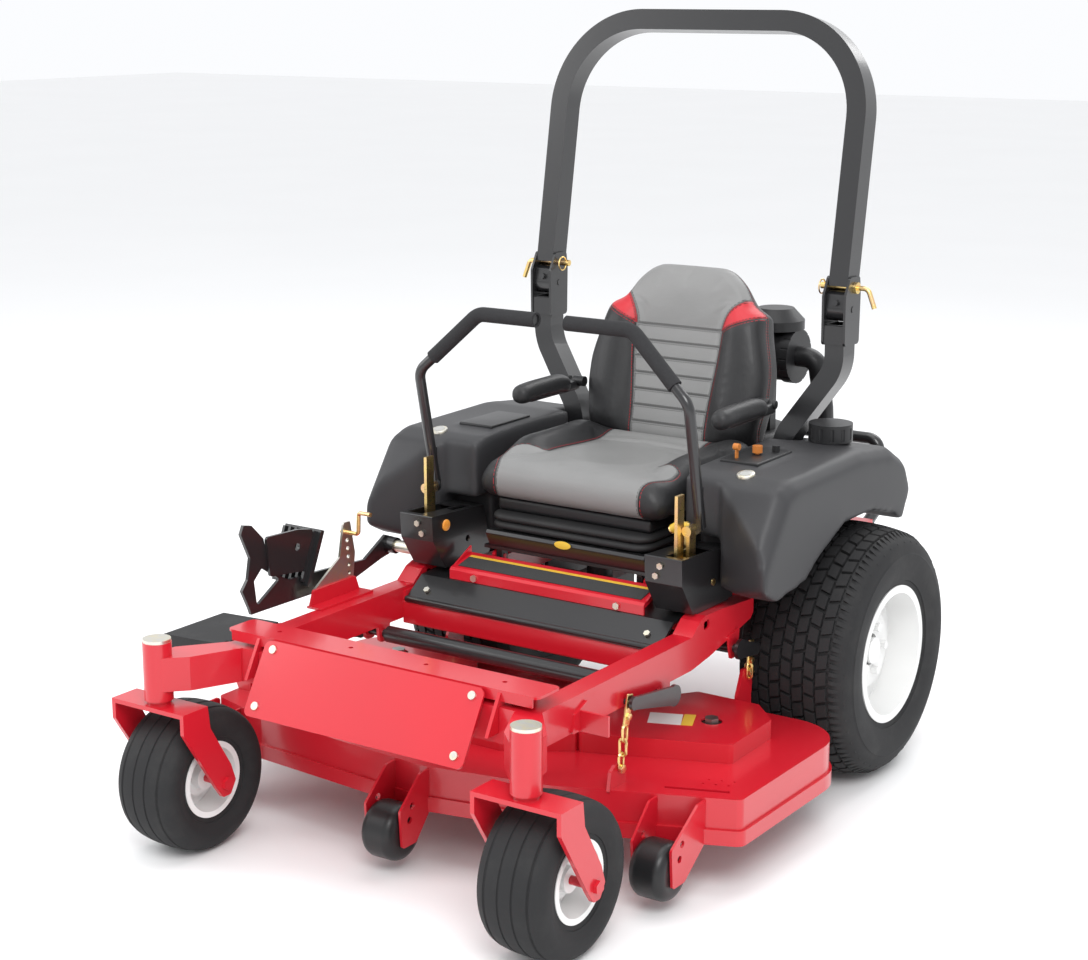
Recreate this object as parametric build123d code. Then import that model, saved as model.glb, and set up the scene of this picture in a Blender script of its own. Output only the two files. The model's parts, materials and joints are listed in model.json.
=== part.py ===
from build123d import *
import os
from math import atan2, cos, degrees, hypot, pi, radians, sin

# Zero turn mower, millimetres. Working frame: X towards the machine's left, Y towards its rear, Z up,
# with the rear axle at Y 0, the ground at Z 0 and the centre plane at X 0. Every solid is moved by SHIFT
# when it is written, so that the whole object stands centred on its origin.

# ---- fits and clearances ----
GAP = 0.4               # between faces of different bodies
FIT = 0.05              # radial running clearance of a shaft in its bore
BOLT_HEAD = 8.0         # height of a bolt head

# ---- wheels ----
REAR_TYRE_R = 305.0
REAR_TYRE_W = 292.0
REAR_RIM_R = 154.0
REAR_RIM_W = 256.0
REAR_LIP = 14.0
REAR_HALF_TRACK = 492.0
REAR_DISC_INSET = 78.0  # from the rim's outer face to the wheel disc
LUG_CIRCLE_R = 57.0
LUG_COUNT = 5
MOTOR_SHAFT_R = 17.5
CASTER_TYRE_R = 165.0
CASTER_TYRE_W = 160.0
CASTER_RIM_R = 77.0
CASTER_RIM_W = 124.0
CASTER_LIP = 9.0
CASTER_AXLE_R = 9.5
CASTER_HALF_TRACK = 483.0
CASTER_TRAIL = 88.0
WHEELBASE = 1260.0      # rear axle to caster axle

# ---- caster pivots and forks ----
PIVOT_TUBE_R = 31.75
PIVOT_LOW = 366.0
PIVOT_HIGH = 496.0
STEM_R = 12.7
FORK_PLATE = 10.0
FORK_WIDTH = 76.0
FORK_SIDE_GAP = 16.0    # between the tyre and a fork arm

# ---- frame ----
RAIL_OUT = 413.0        # outer face of a side rail
RAIL_W = 50.0
RAIL_LOW = 390.0
RAIL_HIGH = 466.0
RAIL_WALL = 5.0
RAIL_FRONT = -1150.0
INNER_RAIL_OUT = 326.0  # rear rails pass between the tyres
INNER_RAIL_LOW = 430.0
INNER_RAIL_HIGH = 490.0
INNER_RAIL_FRONT = -470.0
REAR_END = 500.0
CHANNEL_HALF = 412.0
CHANNEL_TOP = 500.0
CHANNEL_FRONT = -1204.0
CHANNEL_REAR = -1118.0
SHEET = 5.0             # steel sheet and plate of the body work
PLATE_HALF = 290.0      # front cover plate
PLATE_TILT = 30.0
PLATE_HEIGHT = 168.0
CROSS_FRONT = -642.0
CROSS_REAR = -592.0
CROSS_LOW = 376.0
CROSS_HIGH = 433.0

# ---- operator station ----
TOWER_IN = 295.0
TOWER_OUT = 391.0
TOWER_FRONT = -613.0
TOWER_TOP = 642.0
LEVER_X = 366.0
LEVER_PIVOT = (-527.0, 590.0)     # fore and aft pivot of a lever, in Y and Z
SWING_PIVOT_Z = 690.0             # outward swing pivot of a lap bar
LAP_TUBE_R = 12.7
LAP_GRIP_R = 17.5
BRAKE_X = 322.0
BRAKE_PIVOT = (-470.0, 560.0)     # in Y and Z
SEAT_TIP = (-462.0, 530.0)        # tip pivot of the seat base in Y and Z
SEAT_HALF = 262.0
CUSHION_FRONT = -488.0
CUSHION_REAR = -20.0
CUSHION_LOW = 672.0
CUSHION_HIGH = 765.0
BACK_TOP = 1205.0
BACK_TILT = 14.0
BACK_THICK = 100.0
ARMREST_Z = 905.0
ARMREST_PIVOT = (-16.0, 882.0)      # in Y and Z
POD_OUT = 560.0
POD_IN = 292.0
POD_SKIRT = 336.0       # the pod reaches down beside the tyre only inside this plane
POD_TOP = 800.0
POD_REAR = 216.0
FUEL_CAP = (440.0, 0.0)          # centre in X and Y
FUEL_CAP_R = 53.0
THROTTLE = (352.0, -303.0)       # in X and Y

# ---- roll bar ----
ROPS_X = 421.5
ROPS_PIVOT = (72.0, 1116.0)       # fold pivot in Y and Z
ROPS_TUBE_W = 50.0
ROPS_TUBE_D = 60.0
ROPS_WALL = 4.0
ROPS_LEAN = 9.5
ROPS_TOP = 1812.0
ROPS_CORNER_R = 225.0
ROPS_FOOT_X = 300.0
ROPS_FOOT_Y = 42.0
PIN_R = 8.0
LOCK_RISE = 52.0        # lock pin above the fold pivot

# ---- deck ----
DECK_LOW = 120.0
DECK_HIGH = 222.0
DECK_HALF = 675.0
DECK_REAR = -332.0
DECK_CORNER_R = 130.0
COVER_TOP = 266.0
SPINDLE_X = 444.0
SPINDLE_SIDE_Y = -560.0
SPINDLE_MID_Y = -790.0
SPINDLES = {"left": (SPINDLE_X, SPINDLE_SIDE_Y), "centre": (0, SPINDLE_MID_Y), "right": (-SPINDLE_X, SPINDLE_SIDE_Y)}
SPINDLE_R = 12.5
BLADE_LENGTH = 436.0
BLADE_Z = 132.0
PULLEY_R = 62.0
ROLLER_R = 63.5
ROLLER_W = 84.0
ROLLER_Z = 90.0
ROLLER_BOLT_R = 8.0
DECK_PLAN = [(DECK_HALF, -838), (300, -992), (0, -1052), (-497, -1010), (-DECK_HALF, -960),
             (-DECK_HALF, DECK_REAR), (DECK_HALF, DECK_REAR)]
ROLLERS = {"left": (556.0, -974.0), "centre": (-30.0, -1121.0), "right": (-632.0, -1050.0)}
CHUTE_HINGE = (-702.0, 322.0)     # in X and Z
CHUTE_OUT = -942.0
CHUTE_FRONT = -905.0
CHUTE_REAR = -690.0

# ---- lift ----
LIFT_FRONT = (-715.0, 370.0)      # front rock shaft in Y and Z
LIFT_REAR = (-418.0, 395.0)
FRONT_TIP = (-880.0, 400.0)        # hanger pins of the two shafts
REAR_TIP = (-345.0, 378.0)
LIFT_SHAFT_R = 20.0
LIFT_NECK_R = 10.0
LIFT_ARM_X = 428.0
PEDAL_PIVOT = (-560.0, 538.0)
PEDAL_X = -470.0


# ---- shape helpers ----
def block(x, y, z):
    """A box between pairs of low and high X, Y and Z."""
    size = [high - low for low, high in (x, y, z)]
    middle = [(high + low) / 2 for low, high in (x, y, z)]
    return Pos(*middle) * Box(*size)


def rod(start, end, radius):
    """A round bar from one point to another."""
    axis = Vector(*end) - Vector(*start)
    base = Plane(origin=start, z_dir=axis)
    return base * Cylinder(radius, axis.length, align=(Align.CENTER, Align.CENTER, Align.MIN))


def outline(points, radius=0):
    """A closed flat outline with its corners rounded."""
    sketch = Polygon(*points, align=None)
    return fillet(sketch.vertices(), radius) if radius else sketch


def plate_x(points, low, high, radius=0):
    """A plate between two X planes from an outline in Y and Z."""
    return Pos(low, 0, 0) * extrude(Plane.YZ * outline(points, radius), high - low, dir=(1, 0, 0))


def plate_y(points, low, high, radius=0):
    """A plate between two Y planes from an outline in X and Z."""
    return Pos(0, low, 0) * extrude(Plane.XZ * outline(points, radius), high - low, dir=(0, 1, 0))


def plate_z(points, low, high, radius=0):
    """A plate between two Z planes from an outline in X and Y."""
    return Pos(0, 0, low) * extrude(outline(points, radius), high - low, dir=(0, 0, 1))


def bar(points, radius, bend):
    """A round tube bent along a route."""
    route = FilletPolyline(*points, radius=bend)
    return sweep(Plane(origin=route @ 0, z_dir=route % 0) * Circle(radius), path=route)


def bolt(at, axis, radius=8.0, height=BOLT_HEAD):
    """A hexagon head that stands on a face."""
    return Plane(origin=at, z_dir=axis) * extrude(RegularPolygon(radius, 6), height)


def spin(shape, at, axis_dir, angle):
    """The shape turned about an axis through a point."""
    return shape.rotate(Axis(at, axis_dir), angle)


def both(shape):
    """The shape and its mirror image across the centre plane."""
    return [shape, mirror(shape, about=Plane.YZ)]


def solids(*shapes):
    """Every separate solid of the given shapes."""
    found = []
    for shape in shapes:
        found += solids(*shape) if isinstance(shape, (list, tuple)) else shape.solids()
    return found


# ---- wheels ----
def tyre(outer_r, width, rim_r, rim_w, lip, crown, wall):
    """A hollow tyre on the X axis: beads inside the rim's lips, bulging sides, crowned tread."""
    half, bead, bead_top = width / 2, rim_w / 2, rim_r + lip + 2
    middle_r, shoulder, drop = (bead_top + outer_r) / 2, half - crown, outer_r - crown * 0.6
    skin = make_face([
        Line((bead, rim_r), (bead, bead_top)),
        ThreePointArc((bead, bead_top), (half, middle_r), (shoulder, drop)),
        ThreePointArc((shoulder, drop), (0, outer_r), (-shoulder, drop)),
        ThreePointArc((-shoulder, drop), (-half, middle_r), (-bead, bead_top)),
        Line((-bead, bead_top), (-bead, rim_r)),
        Line((-bead, rim_r), (bead, rim_r)),
    ])
    mouth = Pos(0, rim_r + wall / 2) * Rectangle(2 * (bead - wall), 3 * wall)
    return revolve(skin - offset(skin, amount=-wall) - mouth, Axis.X)


def barrel(rim_r, rim_w, lip, wall):
    """The round well of a rim with its two lips, on the X axis."""
    half = rim_w / 2
    well = Cylinder(rim_r, rim_w) - Cylinder(rim_r - wall, rim_w + 2)
    edge = Cylinder(rim_r + lip, wall) - Cylinder(rim_r - wall, wall + 2)
    low = Pos(0, 0, -half - wall / 2) * edge
    high = Pos(0, 0, half + wall / 2) * edge
    return Rot(0, 90, 0) * (well + low + high)


def caster_rim(x, y):
    hub = rod((-46, 0, 0), (46, 0, 0), 27)
    disc = rod((-4, 0, 0), (4, 0, 0), CASTER_RIM_R - 3)
    dish = rod((-24, 0, 0), (24, 0, 0), 44)
    shell = barrel(CASTER_RIM_R, CASTER_RIM_W, CASTER_LIP, 4)
    hub_bore = rod((-60, 0, 0), (60, 0, 0), CASTER_AXLE_R + FIT)
    return Pos(x, y, CASTER_TYRE_R) * (shell + disc + dish + hub - hub_bore)


def caster_tyre(x, y):
    body = tyre(CASTER_TYRE_R, CASTER_TYRE_W, CASTER_RIM_R, CASTER_RIM_W, CASTER_LIP, 26, 11)
    return Pos(x, y, CASTER_TYRE_R) * body


def rear_rim(side):
    """The rim and its hub cup, driven by the motor shaft."""
    x = side * REAR_HALF_TRACK
    shell = barrel(REAR_RIM_R, REAR_RIM_W, REAR_LIP, 5)
    face = REAR_RIM_W / 2 - REAR_DISC_INSET
    disc = rod((face - 8, 0, 0), (face, 0, 0), REAR_RIM_R - 3)
    cone = rod((face, 0, 0), (face + 22, 0, 0), 92) - rod((face - 8, 0, 0), (face + 14, 0, 0), 84)
    shape = shell + disc + cone - rod((face - 40, 0, 0), (face + 40, 0, 0), 40)
    for turn in range(LUG_COUNT):
        angle = 2 * pi * turn / LUG_COUNT
        y, z = LUG_CIRCLE_R * cos(angle), LUG_CIRCLE_R * sin(angle)
        shape -= rod((face - 30, y, z), (face + 40, y, z), 6.6)
    shape = shape if side > 0 else mirror(shape, about=Plane.YZ)
    return Pos(x, 0, REAR_TYRE_R) * shape


def wheel_hub(side):
    """The hub flange behind the disc, its studs and its nuts."""
    face = REAR_RIM_W / 2 - REAR_DISC_INSET
    flange = rod((face - 22, 0, 0), (face - 8, 0, 0), 76)
    boss = rod((face - 60, 0, 0), (face - 22, 0, 0), 36)
    nose = rod((face - 8, 0, 0), (face + 34, 0, 0), 32)
    hub = flange + boss + nose
    hub -= rod((face - 80, 0, 0), (face + 14, 0, 0), MOTOR_SHAFT_R + FIT)
    for turn in range(LUG_COUNT):
        angle = 2 * pi * turn / LUG_COUNT
        y, z = LUG_CIRCLE_R * cos(angle), LUG_CIRCLE_R * sin(angle)
        hub += rod((face - 22, y, z), (face + 34, y, z), 6.5)
        hub += bolt((face + 22, y, z), (1, 0, 0), 11, 16)
    hub = hub if side > 0 else mirror(hub, about=Plane.YZ)
    return Pos(side * REAR_HALF_TRACK, 0, REAR_TYRE_R) * hub


def rear_tyre(side):
    body = tyre(REAR_TYRE_R, REAR_TYRE_W, REAR_RIM_R, REAR_RIM_W, REAR_LIP, 46, 12)
    return Pos(side * REAR_HALF_TRACK, 0, REAR_TYRE_R) * body


# ---- casters ----
def caster_fork(x, pivot_y):
    """A strap bent over the tyre, its stem, and the axle bolt through both arms."""
    axle_y = pivot_y + CASTER_TRAIL
    inner = CASTER_TYRE_W / 2 + FORK_SIDE_GAP
    outer = inner + FORK_PLATE
    top = PIVOT_LOW - 8
    half = FORK_WIDTH / 2
    arm = [(pivot_y - half, top), (pivot_y - half, top - 46), (axle_y - 30, CASTER_TYRE_R - 4),
           (axle_y - 12, CASTER_TYRE_R - 29), (axle_y + 12, CASTER_TYRE_R - 29),
           (axle_y + 30, CASTER_TYRE_R), (axle_y + 16, CASTER_TYRE_R + 40),
           (pivot_y + half + 6, top - 52), (pivot_y + half, top)]
    strap = plate_x(arm, inner, outer, 7)
    strap += mirror(strap, about=Plane.YZ)
    strap += block((-outer, outer), (pivot_y - half, pivot_y + half), (top - FORK_PLATE, top))
    strap -= rod((-outer - 1, axle_y, CASTER_TYRE_R), (outer + 1, axle_y, CASTER_TYRE_R), CASTER_AXLE_R)
    washer = rod((0, pivot_y, top), (0, pivot_y, PIVOT_LOW - GAP), 26)
    stem = rod((0, pivot_y, top - FORK_PLATE), (0, pivot_y, PIVOT_HIGH - 14), STEM_R)
    return Pos(x, 0, 0) * (strap + washer + stem)


def caster_axle(x, pivot_y):
    """The axle bolt with its head and nut, held in the fork."""
    axle_y = pivot_y + CASTER_TRAIL
    reach = CASTER_TYRE_W / 2 + FORK_SIDE_GAP + FORK_PLATE
    shank = rod((-reach, axle_y, CASTER_TYRE_R), (reach, axle_y, CASTER_TYRE_R), CASTER_AXLE_R)
    head = bolt((reach, axle_y, CASTER_TYRE_R), (1, 0, 0), 15, 8)
    nut = bolt((-reach - 10, axle_y, CASTER_TYRE_R), (1, 0, 0), 15, 10)
    shift = Pos(x, 0, 0)
    return shift * (shank + head + nut)


# ---- frame ----
def box_beam(points, low, high, wall=RAIL_WALL):
    """A hollow box section between two heights from an outline in X and Y."""
    skin = plate_z(points, low, high)
    core = Pos(0, 0, low + wall) * extrude(offset(outline(points), amount=-wall), high - low - 2 * wall, dir=(0, 0, 1))
    return skin - core


def side_rail():
    """The machine's left rail: front rail, tower riser and the rear rail between the tyres."""
    inner = RAIL_OUT - RAIL_W
    front = block((inner, RAIL_OUT), (RAIL_FRONT, -600), (RAIL_LOW, RAIL_HIGH))
    front -= block((inner + RAIL_WALL, RAIL_OUT - RAIL_WALL), (RAIL_FRONT - 1, -630),
                   (RAIL_LOW + RAIL_WALL, RAIL_HIGH - RAIL_WALL))
    riser = [(-600, RAIL_LOW), (-518, 402), (-330, 443), (-318, 455), (-318, 489), (-470, 500),
             (-540, 502), (-565, 494), (-600, RAIL_HIGH)]
    side = plate_x(riser, inner, RAIL_OUT, 3)
    side -= plate_x([(-572, 420), (-345, 458), (-345, 478), (-560, 484)], inner + 5, RAIL_OUT - 5)
    side -= plate_x([(-548, 468), (-524, 472), (-524, 492), (-548, 488)], inner - 1, RAIL_OUT + 1, 6)
    rear_in = INNER_RAIL_OUT - RAIL_W
    rear = block((rear_in, INNER_RAIL_OUT), (INNER_RAIL_FRONT, REAR_END), (INNER_RAIL_LOW, INNER_RAIL_HIGH))
    rear -= block((rear_in + RAIL_WALL, INNER_RAIL_OUT - RAIL_WALL), (INNER_RAIL_FRONT + 12, REAR_END - 12),
                  (INNER_RAIL_LOW + RAIL_WALL, INNER_RAIL_HIGH - RAIL_WALL))
    link = block((INNER_RAIL_OUT, inner), (-440, -400), (448, 488))
    return front + side + rear + link


def lift_bracket():
    """The red angle on the right rail that carries the height selector."""
    foot = block((-RAIL_OUT - 26, -RAIL_OUT + 18), (-905, -715), (RAIL_HIGH, RAIL_HIGH + 5))
    ear = plate_x([(-900, RAIL_HIGH), (-720, RAIL_HIGH), (-735, 505), (-885, 505)],
                  -RAIL_OUT - 26, -RAIL_OUT - 18, 3)
    return foot + ear


def side_rails():
    left = side_rail()
    right = mirror(left, about=Plane.YZ)
    lugs = []
    for side in (1, -1):
        face = side * RAIL_OUT
        tab = plate_x([(-432, 372), (-404, 372), (-392, 440), (-444, 426)], *sorted((face, face + side * 6)), 6)
        front_tab = plate_x([(-1090, RAIL_LOW), (-1030, RAIL_LOW), (-1030, RAIL_LOW + 60), (-1078, RAIL_LOW + 40)],
                            *sorted((face, face + side * 6)), 5)
        shelf = block(sorted((face, face + (74 if side > 0 else -28))), (-1062, -1056), (RAIL_LOW, RAIL_LOW + 44))
        lugs += [tab, front_tab, shelf]
        for near in (RAIL_OUT - RAIL_W, RAIL_OUT - 8):
            lugs.append(plate_x([(-737, RAIL_LOW + 1), (-733, 356), (-725, 350), (-705, 350), (-697, 356),
                                 (-693, RAIL_LOW + 1)], *sorted((side * near, side * (near + 8)))))
    shape = left + right + lift_bracket()
    for lug in lugs:
        shape += lug
    for pivot in (LIFT_FRONT, LIFT_REAR):
        shape -= rod((-RAIL_OUT - 9, *pivot), (RAIL_OUT + 9, *pivot), LIFT_NECK_R + FIT)
    return shape


def caster_tube(x, y):
    """The pivot tube with its two bushes."""
    tube = rod((x, y, PIVOT_LOW), (x, y, PIVOT_HIGH), PIVOT_TUBE_R)
    hollow = rod((x, y, PIVOT_LOW + 32), (x, y, PIVOT_HIGH - 32), PIVOT_TUBE_R - 6)
    return tube - hollow - rod((x, y, PIVOT_LOW - 1), (x, y, PIVOT_HIGH + 1), STEM_R + FIT)


def front_axle(pivot_y):
    """The two cranked arms out to the pivot tubes and the beam between them."""
    inner = RAIL_OUT - RAIL_W
    arm = [(CASTER_HALF_TRACK - 26, pivot_y - 18), (CASTER_HALF_TRACK + 14, pivot_y + 28),
           (CASTER_HALF_TRACK + 6, pivot_y + 62), (RAIL_OUT, RAIL_FRONT - 40), (RAIL_OUT, RAIL_FRONT),
           (inner, RAIL_FRONT), (inner, RAIL_FRONT - 66), (CASTER_HALF_TRACK - 70, pivot_y + 26)]
    beam = box_beam(arm, RAIL_LOW, RAIL_HIGH)
    tube_space = rod((CASTER_HALF_TRACK, pivot_y, 300), (CASTER_HALF_TRACK, pivot_y, 600), PIVOT_TUBE_R)
    left = (beam - tube_space) + caster_tube(CASTER_HALF_TRACK, pivot_y)
    web = block((-inner, inner), (RAIL_FRONT - 62, RAIL_FRONT - 12), (RAIL_LOW, RAIL_HIGH))
    web -= block((-inner + 5, inner - 5), (RAIL_FRONT - 57, RAIL_FRONT - 17), (RAIL_LOW + 5, RAIL_HIGH - 5))
    return left + mirror(left, about=Plane.YZ) + web


def tilted_panel(half, low_s, high_s, thickness, lift, radius):
    """A panel on the tilted front plane; s runs down the slope from the channel's front edge."""
    slope = radians(PLATE_TILT)
    origin = (0, CHANNEL_FRONT - lift * cos(slope), CHANNEL_TOP + lift * sin(slope))
    front = Plane(origin=origin, x_dir=(1, 0, 0), z_dir=(0, -cos(slope), sin(slope)))
    face = [(-half, -high_s), (half, -high_s), (half, -low_s), (-half, -low_s)]
    return front * extrude(outline(face, radius), thickness, dir=(0, 0, 1))


def front_channel():
    """The bent channel across the front: top, lips and the sloping face behind the cover plate."""
    top = block((-CHANNEL_HALF, CHANNEL_HALF), (CHANNEL_FRONT, CHANNEL_REAR), (CHANNEL_TOP - SHEET, CHANNEL_TOP))
    top = fillet(top.edges().filter_by(Axis.Z), 14)
    lip = block((-CHANNEL_HALF + 14, CHANNEL_HALF - 14), (CHANNEL_FRONT, CHANNEL_FRONT + SHEET),
                (CHANNEL_TOP - 24, CHANNEL_TOP))
    rear_lip = block((-CHANNEL_HALF + 60, CHANNEL_HALF - 60), (CHANNEL_REAR - SHEET, CHANNEL_REAR),
                     (RAIL_HIGH + 0.5, CHANNEL_TOP))
    face = tilted_panel(PLATE_HALF - 12, 4, PLATE_HEIGHT - 12, SHEET, -SHEET, 4)
    channel = top + lip + rear_lip + face
    for x in (-300, -100, 100, 300):
        channel -= rod((x, -1158, CHANNEL_TOP - 9), (x, -1158, CHANNEL_TOP + 1), 5.5)
    inner = RAIL_OUT - RAIL_W
    for x in (-inner + 40, inner - 48):
        channel += plate_x([(-1206, 493), (-1251, 412), (-1213, 412), (-1213, RAIL_HIGH + 0.5),
                            (-1165, RAIL_HIGH + 0.5), (-1165, CHANNEL_TOP - 2), (-1200, CHANNEL_TOP - 2)], x, x + 8)
    return channel


def cross_members():
    """Front channel, the beams between the rails and the plate that carries the engine."""
    inner = RAIL_OUT - RAIL_W
    front = block((-inner, inner), (CROSS_FRONT, CROSS_REAR), (CROSS_LOW, CROSS_HIGH))
    front = fillet(front.edges().filter_by(Axis.X), 6)
    front -= block((-inner + 8, inner - 8), (CROSS_FRONT + 5, CROSS_REAR - 5), (CROSS_LOW + 5, CROSS_HIGH - 5))
    ends = block((inner - 8, inner), (CROSS_FRONT + 2, -560), (CROSS_LOW + 4, RAIL_HIGH - 8))
    rear_in = INNER_RAIL_OUT - RAIL_W
    middle = block((-rear_in, rear_in), (-460, -420), (INNER_RAIL_LOW, INNER_RAIL_HIGH))
    middle -= block((-rear_in + 5, rear_in - 5), (-455, -425), (INNER_RAIL_LOW + 5, INNER_RAIL_HIGH - 5))
    plate = block((-rear_in, rear_in), (130, 460), (INNER_RAIL_HIGH - 8, INNER_RAIL_HIGH))
    plate -= rod((0, 310, INNER_RAIL_LOW), (0, 310, INNER_RAIL_HIGH + 1), 46)
    back = block((-rear_in, rear_in), (460, REAR_END), (INNER_RAIL_LOW, INNER_RAIL_HIGH))
    back -= block((-rear_in + 5, rear_in - 5), (465, REAR_END - 5), (INNER_RAIL_LOW + 5, INNER_RAIL_HIGH - 5))
    for x in (-36, 36):
        back -= rod((x, 450, 460), (x, REAR_END + 1, 460), 8)
    return [front_channel(), front + ends + mirror(ends, about=Plane.YZ), middle, plate + back]


def name_plate():
    """The plain cover plate across the front, with four bolt holes."""
    plate = tilted_panel(PLATE_HALF, 6, 6 + PLATE_HEIGHT, SHEET, GAP, 15)
    return plate


def plate_bolt_spots():
    """Centres of the four cover plate bolts on the plate's front face."""
    slope = radians(PLATE_TILT)
    spots = []
    for down in (24, 24 + 126):
        y = CHANNEL_FRONT - (GAP + SHEET) * cos(slope) - down * sin(slope)
        z = CHANNEL_TOP + (GAP + SHEET) * sin(slope) - down * cos(slope)
        spots += [(-264, y, z), (264, y, z)]
    return spots


# ---- floor and towers ----
def foot_pan():
    """The black pan that slopes from the front cross member up to the foot rest."""
    half = RAIL_OUT - RAIL_W - 10
    low, high = CROSS_HIGH, 486
    shape = plate_x([(-646, low), (-646, low + 6), (-580, high), (-482, high + 8), (-482, high + 3), (-578, high - 6),
                     (-640, low)], -half, half)
    lip = rod((-half, -642, low + 7), (half, -642, low + 7), 7)
    flange = block((-half, half), (-636, -606), (low, low + 5))
    return shape + lip + flange


def foot_rest():
    """The bent red foot rest between the towers."""
    half, rear = 272, -492
    profile = [(-576, 487), (-576, 509), (-570, 515), (rear, 534), (rear, 529), (-568, 509), (-571, 505), (-571, 487)]
    rest = plate_x(profile, -half, half)
    for x in (-half, half - 5):
        rest += plate_x([(-571, 503), (-571, 512), (rear, 550), (rear, 529)], x, x + 5)
    for x in (-200, 192):
        rest += block((x, x + 8), (-522, -500), (495, 525))
    return rest


def control_tower():
    """The machine's left tower: a folded steel box, open below, slotted on top for the lever."""
    side = [(TOWER_FRONT, TOWER_TOP), (TOWER_FRONT + 4, 580), (-560, 505), (-540, 505), (-382, 505), (-374, 520),
            (-404, TOWER_TOP - 12)]
    body = plate_x(side, TOWER_IN, TOWER_OUT, 3)
    hollow = [(TOWER_FRONT + 4, TOWER_TOP - 4), (TOWER_FRONT + 8, 582), (-556, 500), (-387, 500), (-379, 520),
              (-408, TOWER_TOP - 16)]
    body -= plate_x(hollow, TOWER_IN + 4, TOWER_OUT - 4)
    body -= block((LEVER_X - 28, LEVER_X + 17), (-594, -462), (TOWER_TOP - 16, TOWER_TOP + 5))
    body -= block((BRAKE_X - 10, BRAKE_X + 10), (-506, -434), (TOWER_TOP - 20, TOWER_TOP + 5))
    body -= rod((TOWER_IN - 1, *BRAKE_PIVOT), (TOWER_OUT + 1, *BRAKE_PIVOT), 8 + FIT)
    foot = block((RAIL_OUT - RAIL_W, TOWER_OUT), (-540, -400), (502, 505))
    pin = rod((TOWER_IN + 2, *LEVER_PIVOT), (TOWER_OUT - 2, *LEVER_PIVOT), 8)
    return body + foot + pin


def lever_base():
    """The pivot block, the short stub arm and the yellow stop bar of the machine's left lever."""
    y, z = LEVER_PIVOT
    boss = rod((LEVER_X - 16, y, z), (LEVER_X + 16, y, z), 18) - rod((LEVER_X - 20, y, z), (LEVER_X + 20, y, z), 8 + FIT)
    arm = block((LEVER_X - 6, LEVER_X + 2), (y - 14, y + 14), (z + 12, SWING_PIVOT_Z + 10))
    ear = rod((LEVER_X - 2, y - 22, SWING_PIVOT_Z), (LEVER_X - 2, y - 14, SWING_PIVOT_Z), 12)
    pin = rod((LEVER_X - 2, y - 14, SWING_PIVOT_Z), (LEVER_X - 2, y + 24, SWING_PIVOT_Z), 6)
    stop = block((LEVER_X - 22, LEVER_X - 14), (y - 40, y - 12), (z + 20, 772))
    tie = block((LEVER_X - 22, LEVER_X - 6), (y - 14, y - 6), (z + 20, z + 36))
    return (boss + arm + ear + stop + tie) - rod((LEVER_X - 20, y, z), (LEVER_X + 20, y, z), 8 + FIT) + pin


def lap_route():
    y = LEVER_PIVOT[0] + 34
    return [(370, y - 2, SWING_PIVOT_Z), (370, -557, 979), (210, -536, 1126), (45, -545, 1128)]


def lap_bar():
    """The machine's left steering bar, with the swing eye at its foot."""
    y = LEVER_PIVOT[0]
    route = lap_route()
    tube = bar(route, LAP_TUBE_R, 46)
    eye = rod((LEVER_X - 2, y + 14.4, SWING_PIVOT_Z), (LEVER_X - 2, y + 24, SWING_PIVOT_Z), 15)
    strap = block((LEVER_X - 6, LEVER_X + 14), (y + 14.4, y + 24), (SWING_PIVOT_Z - 6, SWING_PIVOT_Z + 96))
    bore = rod((LEVER_X - 2, y - 40, SWING_PIVOT_Z), (LEVER_X - 2, y + 60, SWING_PIVOT_Z), 6 + FIT)
    return tube + eye + strap - bore


def lap_grip():
    """The foam grip over the upper part of the bar."""
    route = lap_route()
    start = Vector(*route[1]) + (Vector(*route[2]) - Vector(*route[1])) * 0.24
    end = Vector(*route[3]) + Vector(-4, 0, 0)
    inner = bar([tuple(start), route[2], tuple(end)], LAP_TUBE_R, 46)
    outer = bar([tuple(start), route[2], tuple(end)], LAP_GRIP_R, 46)
    return outer - inner


def park_brake():
    """The curved yellow brake handle, its arm through the tower's slot and its cross shaft."""
    shaft = rod((TOWER_IN - 2, *BRAKE_PIVOT), (TOWER_OUT + 1.5, *BRAKE_PIVOT), 8)
    y, z = BRAKE_PIVOT
    arm = block((BRAKE_X - 4, BRAKE_X + 4), (y - 8, y + 12), (z, z + 118))
    grip = bar([(276, y + 4, z + 104), (300, y + 6, z + 118), (318, y + 6, z + 118), (340, y + 4, z + 106)], 10, 14)
    return shaft + arm + grip


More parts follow.
